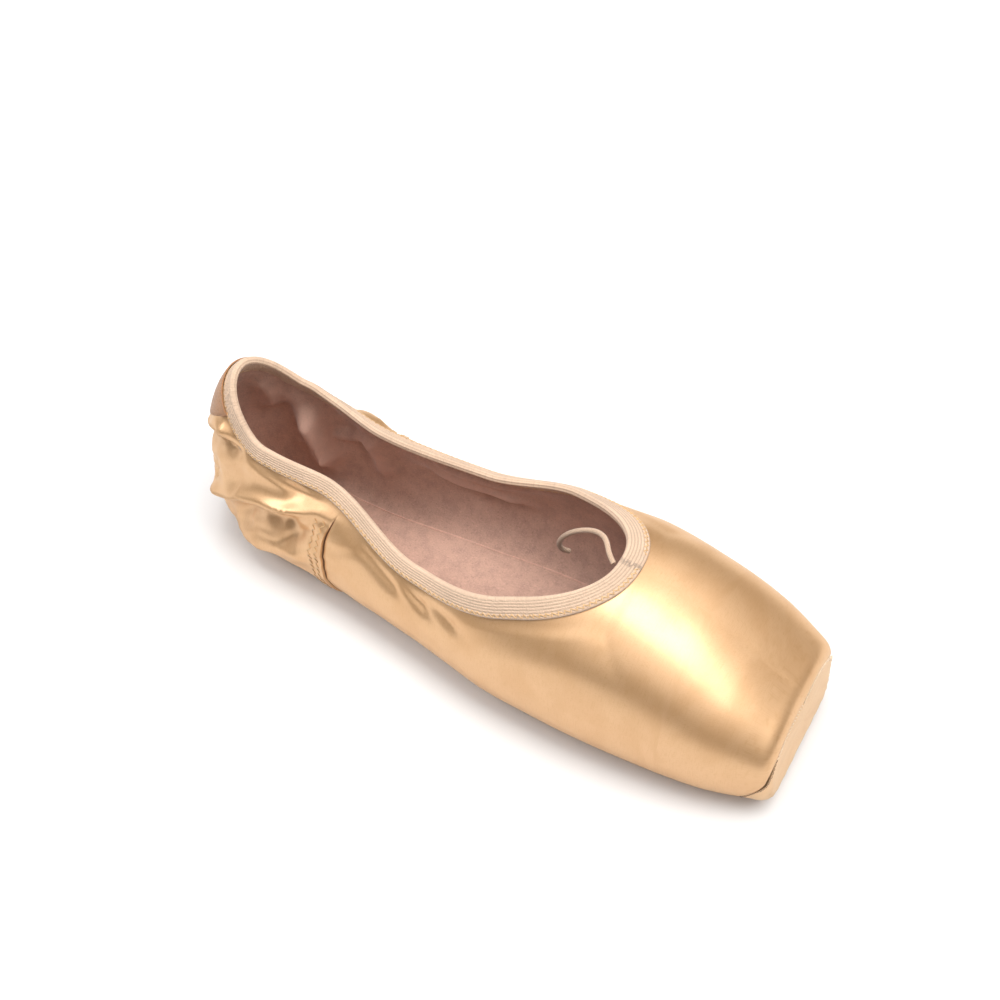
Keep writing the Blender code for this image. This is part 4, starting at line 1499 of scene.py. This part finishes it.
def elastic(colour, rib_pitch):
    """The binding: ribs with painted shade in their hollows, and fine knitting across them."""
    made, tree, shader = new_material("ribbed elastic")
    vector = cloth_place(tree, "across")
    cloth = place_effect(
        tree, thread_effect(), vector, Colour=colour, Dark=tint(colour, 0.7), Bump=0.5
    )
    turns = node(tree, "ShaderNodeMath", operation="MULTIPLY")
    turns.inputs[1].default_value = 2 * math.pi / rib_pitch
    tree.links.new(reading(tree, "across"), turns.inputs[0])
    wave = node(tree, "ShaderNodeMath", operation="COSINE")
    tree.links.new(turns.outputs[0], wave.inputs[0])
    # Painted shade in the hollows between the ribs
    painted_hollow_shade = spread(tree, wave.outputs[0], -1.0, 0.3, 0.6, 0.0)
    toned = mix(tree, painted_hollow_shade, cloth.outputs["Colour"], tint(colour, 0.5))
    knit = node(tree, "ShaderNodeTexVoronoi", Scale=1900.0)
    feed(knit, Vector=vector)
    loops = bumped(tree, knit.outputs["Distance"], shader, Strength=0.8, Distance=0.25 * MM)
    feed(loops, Normal=cloth.outputs["Normal"])
    feed(shader, Base_Color=toned, Roughness=0.72, Sheen_Weight=0.25, Sheen_Roughness=0.5)
    return made


def suede(name, colour):
    made, tree, shader = new_material(name)
    nap = place_effect(
        tree,
        nap_effect(),
        object_place(tree),
        Colour=colour,
        Dark=tint(colour, 0.55),
        Light=tint(colour, 1.35),
        Bump=0.55,
    )
    feed(shader, Roughness=nap.outputs["Roughness"], Normal=nap.outputs["Normal"])
    # Painted shade in the troughs of the lining's folds and painted light on their crests
    fold = reading(tree, "fold")
    painted_hollow_shade = spread(tree, fold, -3.0, -0.1, 0.55, 0.0)
    painted_crest_light = spread(tree, fold, 0.6, 4.0, 0.0, 0.5)
    toned = mix(tree, painted_hollow_shade, nap.outputs["Colour"], tint(colour, 0.4))
    feed(shader, Base_Color=mix(tree, painted_crest_light, toned, tint(colour, 1.25)))
    feed(shader, Sheen_Weight=0.35, Sheen_Roughness=0.45, Specular_IOR_Level=0.2)
    return made


def leather(colour):
    """Buffed sole leather with pores, fine scuffs along its length and darker rubbed patches."""
    made, tree, shader = new_material("sole leather")
    spot = object_place(tree)
    patches = noise_at(tree, spot, 55.0, 4.0, 0.6)
    scuffs = noise_at(tree, stretched(tree, spot, (60.0, 700.0, 60.0)), 1.0, 5.0, 0.7)
    pores = node(tree, "ShaderNodeTexVoronoi", Scale=2200.0)
    feed(pores, Vector=spot)
    rubbed = spread(tree, patches, 0.35, 0.65, 0.55, 0.0)
    toned = mix(tree, rubbed, tuple(colour), tint(colour, 0.68))
    toned = mix(tree, spread(tree, scuffs, 0.55, 0.75, 0.0, 0.4), toned, tint(colour, 1.45))
    feed(shader, Base_Color=toned, Roughness=spread(tree, scuffs, 0.3, 0.7, 0.52, 0.78))
    total = combined(tree, "ADD", pores.outputs["Distance"], scuffs)
    bumped(tree, total, shader, Strength=0.3, Distance=0.2 * MM)
    return made


def cotton(colour):
    """Braided cord, browner towards its frayed tip."""
    made, tree, shader = new_material("braided cotton")
    spot = object_place(tree)
    strands = node(tree, "ShaderNodeTexWave", Scale=800.0, Distortion=3.0)
    strands.bands_direction = "DIAGONAL"
    feed(strands, Vector=spot)
    flecks = noise_at(tree, spot, 1800.0, 3.0, 0.6)
    tip = node(tree, "ShaderNodeVectorMath", operation="DISTANCE")
    tip.inputs[1].default_value = tuple(np.array(CORD_ROUTE[-1]) * MM + SHIFT)
    tree.links.new(spot, tip.inputs[0])
    between = spread(tree, strands.outputs["Fac"], 0.1, 0.7, 0.35, 0.0)
    worn = spread(tree, tip.outputs["Value"], 0.003, 0.022, 0.6, 0.0)
    toned = mix(tree, between, tuple(colour), tint(colour, 0.5))
    toned = mix(tree, spread(tree, flecks, 0.5, 0.75, 0.0, 0.35), toned, tint(colour, 1.35))
    toned = mix(tree, worn, toned, tint(colour, 0.42))
    bumped(tree, strands.outputs["Fac"], shader, Strength=0.7, Distance=0.3 * MM)
    feed(shader, Base_Color=toned, Roughness=0.8, Sheen_Weight=0.3)
    return made


def thread(name, colour):
    made, tree, shader = new_material(name)
    tone = noise_at(tree, object_place(tree), 900.0, 2.0, 0.5)
    toned = mix(tree, spread(tree, tone, 0.35, 0.6, 0.45, 0.0), tuple(colour), tint(colour, 0.6))
    feed(shader, Base_Color=toned, Roughness=0.5, Sheen_Weight=0.2)
    return made


def floor_material(colour):
    made, tree, shader = new_material("pale floor")
    cloud = noise_at(tree, object_place(tree), 3.0, 2.0, 0.4)
    toned = mix(tree, spread(tree, cloud, 0.3, 0.7, 0.03, 0.0), tuple(colour), tint(colour, 0.9))
    feed(shader, Base_Color=toned, Roughness=0.6)
    return made


def add_light(name, size, place_at, aim, power, colour):
    """A softbox whose long side runs level, along X."""
    lamp = bpy.data.lights.new(name, "AREA")
    lamp.shape = "RECTANGLE"
    lamp.size, lamp.size_y = size
    lamp.energy = power
    lamp.color = colour
    held = bpy.data.objects.new(name, lamp)
    held.location = place_at
    back = (Vector(place_at) - Vector(aim)).normalized()
    side = (Vector((1, 0, 0)) - back * back.x).normalized()
    held.rotation_euler = Matrix((side, back.cross(side), back)).transposed().to_euler()
    bpy.context.scene.collection.objects.link(held)


# The camera fitted to the photo: two turns and a roll in degrees, then millimetres
CAMERA_TURNS = (32.081, 49.869, -1.625)
CAMERA_AIM = Vector((-1.57, 0, 20))
CAMERA_SHIFT = (4.198, 25.855)
CAMERA_DISTANCE = 446.32
CAMERA_LENS = 44.879
SENSOR_WIDTH = 36.0

WARM_LIGHT = (1.0, 0.97, 0.93)
COOL_LIGHT = (0.95, 0.97, 1.0)
BACKDROP = (0.80, 0.81, 0.82, 1)

# Brightness of the room that the satin mirrors, at heights from 0 below to 1 above
ROOM_SHADES = ((0.0, 0.4), (0.03, 0.03), (0.45, 0.05), (0.68, 1.9), (1.0, 2.4))


def build_stage(stage):
    """The floor, the soft lights, the room and the camera."""
    bpy.ops.mesh.primitive_plane_add(size=10.0, location=(0, 0, 0))
    floor = bpy.context.object
    floor.name = "floor"
    floor.data.materials.append(floor_material(stage.floor_colour))
    over, left = (0.24, 0.07, 0.95), (-0.75, -0.32, 0.62)
    add_light("softbox_over", (1.2, 0.5), over, (0.03, 0, 0.02), stage.key_power, WARM_LIGHT)
    add_light("softbox_left", (0.4, 0.3), left, (-0.05, 0, 0.03), stage.side_power, COOL_LIGHT)
    build_room(stage)
    place_camera()


def build_room(stage):
    """The room's light: a gradient for reflections, and plain and pale for the camera."""
    world = bpy.data.worlds.new("studio grey")
    bpy.context.scene.world = world
    world.use_nodes = True
    tree = world.node_tree
    backdrop = tree.nodes["Background"]
    backdrop.inputs["Strength"].default_value = stage.ambient
    heights = node(tree, "ShaderNodeSeparateXYZ")
    tree.links.new(node(tree, "ShaderNodeTexCoord").outputs["Generated"], heights.inputs[0])
    ramp = node(tree, "ShaderNodeValToRGB")
    for _ in ROOM_SHADES[2:]:
        ramp.color_ramp.elements.new(0.5)
    for stop, (place_at, shade_at) in zip(ramp.color_ramp.elements, ROOM_SHADES):
        stop.position = place_at
        stop.color = (shade_at, shade_at, shade_at * 1.02, 1)
    tree.links.new(heights.outputs["Z"], ramp.inputs["Fac"])
    tree.links.new(ramp.outputs["Color"], backdrop.inputs["Color"])
    seen = node(tree, "ShaderNodeBackground", Strength=1.0)
    seen.inputs["Color"].default_value = BACKDROP
    either = node(tree, "ShaderNodeMixShader")
    tree.links.new(node(tree, "ShaderNodeLightPath").outputs["Is Camera Ray"], either.inputs[0])
    tree.links.new(backdrop.outputs[0], either.inputs[1])
    tree.links.new(seen.outputs[0], either.inputs[2])
    tree.links.new(either.outputs[0], tree.nodes["World Output"].inputs["Surface"])


def place_camera():
    """The camera at the photo's angle."""
    turn, rise, roll = (math.radians(angle) for angle in CAMERA_TURNS)
    level = Vector((math.cos(turn), math.sin(turn), 0))
    away = Vector((math.sin(turn), -math.cos(turn), 0))
    back = away * math.cos(rise) + Vector((0, 0, math.sin(rise)))
    upright = back.cross(level)
    right = level * math.cos(roll) + upright * math.sin(roll)
    above = upright * math.cos(roll) - level * math.sin(roll)
    aim = CAMERA_AIM + right * CAMERA_SHIFT[0] + above * CAMERA_SHIFT[1]
    spot = (aim + back * CAMERA_DISTANCE) * MM
    bpy.context.scene.view_settings.view_transform = "Standard"
    lens = bpy.data.cameras.new("photo_camera")
    lens.lens = CAMERA_LENS
    lens.sensor_width = SENSOR_WIDTH
    lens.clip_start = 0.01
    camera = bpy.data.objects.new("photo_camera", lens)
    bpy.context.scene.collection.objects.link(camera)
    turned = Matrix((right, above, back)).transposed().to_4x4()
    camera.matrix_world = Matrix.Translation(spot) @ turned
    bpy.context.scene.camera = camera


def colour_setting(name, description, default):
    return bpy.props.FloatVectorProperty(
        name=name, description=description, default=(*default, 1.0), size=4, min=0.0, max=1.0,
        subtype="COLOR",
    )


def length_setting(name, description, default):
    return bpy.props.FloatProperty(
        name=name, description=description, default=default * MM, min=0.05 * MM, max=3 * MM,
        unit="LENGTH", precision=5,
    )


class PointeShoeSettings(bpy.types.PropertyGroup):
    """Colours of the shoe's cloths, leathers and threads, and the sizes of its fine work."""

    satin_colour: colour_setting(
        "Satin", "The satin over the box and quarters", (0.75, 0.45, 0.225)
    )
    toe_colour: colour_setting(
        "Toe satin", "The paler satin over the flat toe", (0.75, 0.49, 0.275)
    )
    gap_colour: colour_setting(
        "Seam gap", "The shadowed thread and glue in the seams", (0.16, 0.055, 0.02)
    )
    binding_colour: colour_setting(
        "Binding", "The ribbed elastic on the collar", (0.74, 0.53, 0.375)
    )
    lining_colour: colour_setting("Lining", "The suede cloth inside", (0.58, 0.37, 0.29))
    patch_colour: colour_setting("Heel patch", "The suede patch on the heel", (0.42, 0.21, 0.10))
    leather_colour: colour_setting(
        "Sole leather", "The buffed leather of the sole", (0.55, 0.36, 0.22)
    )
    cord_colour: colour_setting(
        "Drawstring", "The braided cotton drawstring", (0.74, 0.52, 0.36)
    )
    thread_colour: colour_setting(
        "Thread", "The thread of the binding and wing seams", (0.72, 0.46, 0.22)
    )
    toe_thread_colour: colour_setting(
        "Toe thread", "The pale thread round the toe", (0.88, 0.68, 0.48)
    )
    band_depth: length_setting("Binding thickness", "The folded elastic's thickness", 0.75)
    rib_pitch: length_setting("Rib pitch", "From rib to rib on the binding", 1.0)
    rib_height: length_setting("Rib height", "How far the binding's ribs stand out", 0.24)
    thread_radius: length_setting("Thread radius", "Half the sewing thread's thickness", 0.16)
    lining_folds: bpy.props.FloatProperty(
        name="Lining folds", description="How far the lining's folds stand out", default=2.2,
        min=0.0, max=4.0, subtype="FACTOR",
    )


class PointeStageSettings(bpy.types.PropertyGroup):
    """The floor's colour and the strength of the lights."""

    floor_colour: colour_setting("Floor", "The plain pale floor", (0.84, 0.84, 0.84))
    key_power: bpy.props.FloatProperty(
        name="Overhead light",
        description="The softbox over the shoe",
        default=8.5,
        min=0.0,
        subtype="POWER",
    )
    side_power: bpy.props.FloatProperty(
        name="Side light",
        description="The small softbox behind the heel's right side",
        default=2.0,
        min=0.0,
        subtype="POWER",
    )
    ambient: bpy.props.FloatProperty(
        name="Room light",
        description="The even light of the room",
        default=0.55,
        min=0.0,
        subtype="FACTOR",
    )


class POINTE_OT_stage(bpy.types.Operator):
    """Lay the floor and set the lights and the camera"""

    bl_idname = "pointe.stage"
    bl_label = "Stage"

    def execute(self, context):
        build_stage(context.scene.pointe_stage)
        return {"FINISHED"}


class BuildsPieces:
    """Shared by the operators that make the shoe's pieces from its settings."""

    def execute(self, context):
        for build in self.builders:
            build(context.scene.pointe_shoe)
        return {"FINISHED"}


class POINTE_OT_drawstring(BuildsPieces, bpy.types.Operator):
    """Make the drawstring's loose end"""

    bl_idname = "pointe.drawstring"
    bl_label = "Drawstring"
    builders = (build_drawstring,)


class POINTE_OT_satin_upper(BuildsPieces, bpy.types.Operator):
    """Make the satin over the box and the quarters, with its folds and pleats"""

    bl_idname = "pointe.satin_upper"
    bl_label = "Satin Upper"
    builders = (build_satin,)


class POINTE_OT_toe_panel(BuildsPieces, bpy.types.Operator):
    """Make the satin over the flat toe"""

    bl_idname = "pointe.toe_panel"
    bl_label = "Toe Panel"
    builders = (build_toe_panel,)


class POINTE_OT_lining(BuildsPieces, bpy.types.Operator):
    """Make the suede cloth that lines the upper"""

    bl_idname = "pointe.lining"
    bl_label = "Lining"
    builders = (build_lining,)


class POINTE_OT_binding(BuildsPieces, bpy.types.Operator):
    """Make the ribbed elastic binding on the collar"""

    bl_idname = "pointe.binding"
    bl_label = "Collar Binding"
    builders = (build_binding,)


class POINTE_OT_heel_patch(BuildsPieces, bpy.types.Operator):
    """Make the suede patch on the back of the heel"""

    bl_idname = "pointe.heel_patch"
    bl_label = "Heel Patch"
    builders = (build_heel_patch,)


class POINTE_OT_soles(BuildsPieces, bpy.types.Operator):
    """Make the suede insole and the leather outsole"""

    bl_idname = "pointe.soles"
    bl_label = "Insole and Outsole"
    builders = (build_insole, build_insole_edge, build_outsole)


class POINTE_OT_stitches(BuildsPieces, bpy.types.Operator):
    """Sew the binding, the wing seams and the seam round the toe"""

    bl_idname = "pointe.stitches"
    bl_label = "Stitches"
    builders = (build_binding_stitches, build_seam_stitches, build_toe_stitches)


PIECES = (
    POINTE_OT_stage,
    POINTE_OT_drawstring,
    POINTE_OT_satin_upper,
    POINTE_OT_toe_panel,
    POINTE_OT_lining,
    POINTE_OT_binding,
    POINTE_OT_heel_patch,
    POINTE_OT_soles,
    POINTE_OT_stitches,
)


class POINTE_PT_sidebar(bpy.types.Panel):
    """Lists the shoe's settings and pieces"""

    bl_idname = "POINTE_PT_sidebar"
    bl_label = "Pointe Shoe"
    bl_space_type = "VIEW_3D"
    bl_region_type = "UI"
    bl_category = "Pointe Shoe"

    def draw(self, context):
        for settings in (context.scene.pointe_shoe, context.scene.pointe_stage):
            for name in settings.__annotations__:
                self.layout.prop(settings, name)
        for piece in PIECES:
            self.layout.operator(piece.bl_idname)


CLASSES = (PointeShoeSettings, PointeStageSettings, *PIECES, POINTE_PT_sidebar)


def register():
    for item in CLASSES:
        bpy.utils.register_class(item)
    bpy.types.Scene.pointe_shoe = bpy.props.PointerProperty(type=PointeShoeSettings)
    bpy.types.Scene.pointe_stage = bpy.props.PointerProperty(type=PointeStageSettings)


def unregister():
    del bpy.types.Scene.pointe_stage
    del bpy.types.Scene.pointe_shoe
    for item in reversed(CLASSES):
        bpy.utils.unregister_class(item)


def main():
    register()
    bpy.ops.object.select_all(action="DESELECT")
    bpy.ops.pointe.stage()
    bpy.ops.pointe.drawstring()
    bpy.ops.pointe.satin_upper()
    bpy.ops.pointe.toe_panel()
    bpy.ops.pointe.lining()
    bpy.ops.pointe.binding()
    bpy.ops.pointe.heel_patch()
    bpy.ops.pointe.soles()
    bpy.ops.pointe.stitches()


if __name__ == "__main__":
    main()
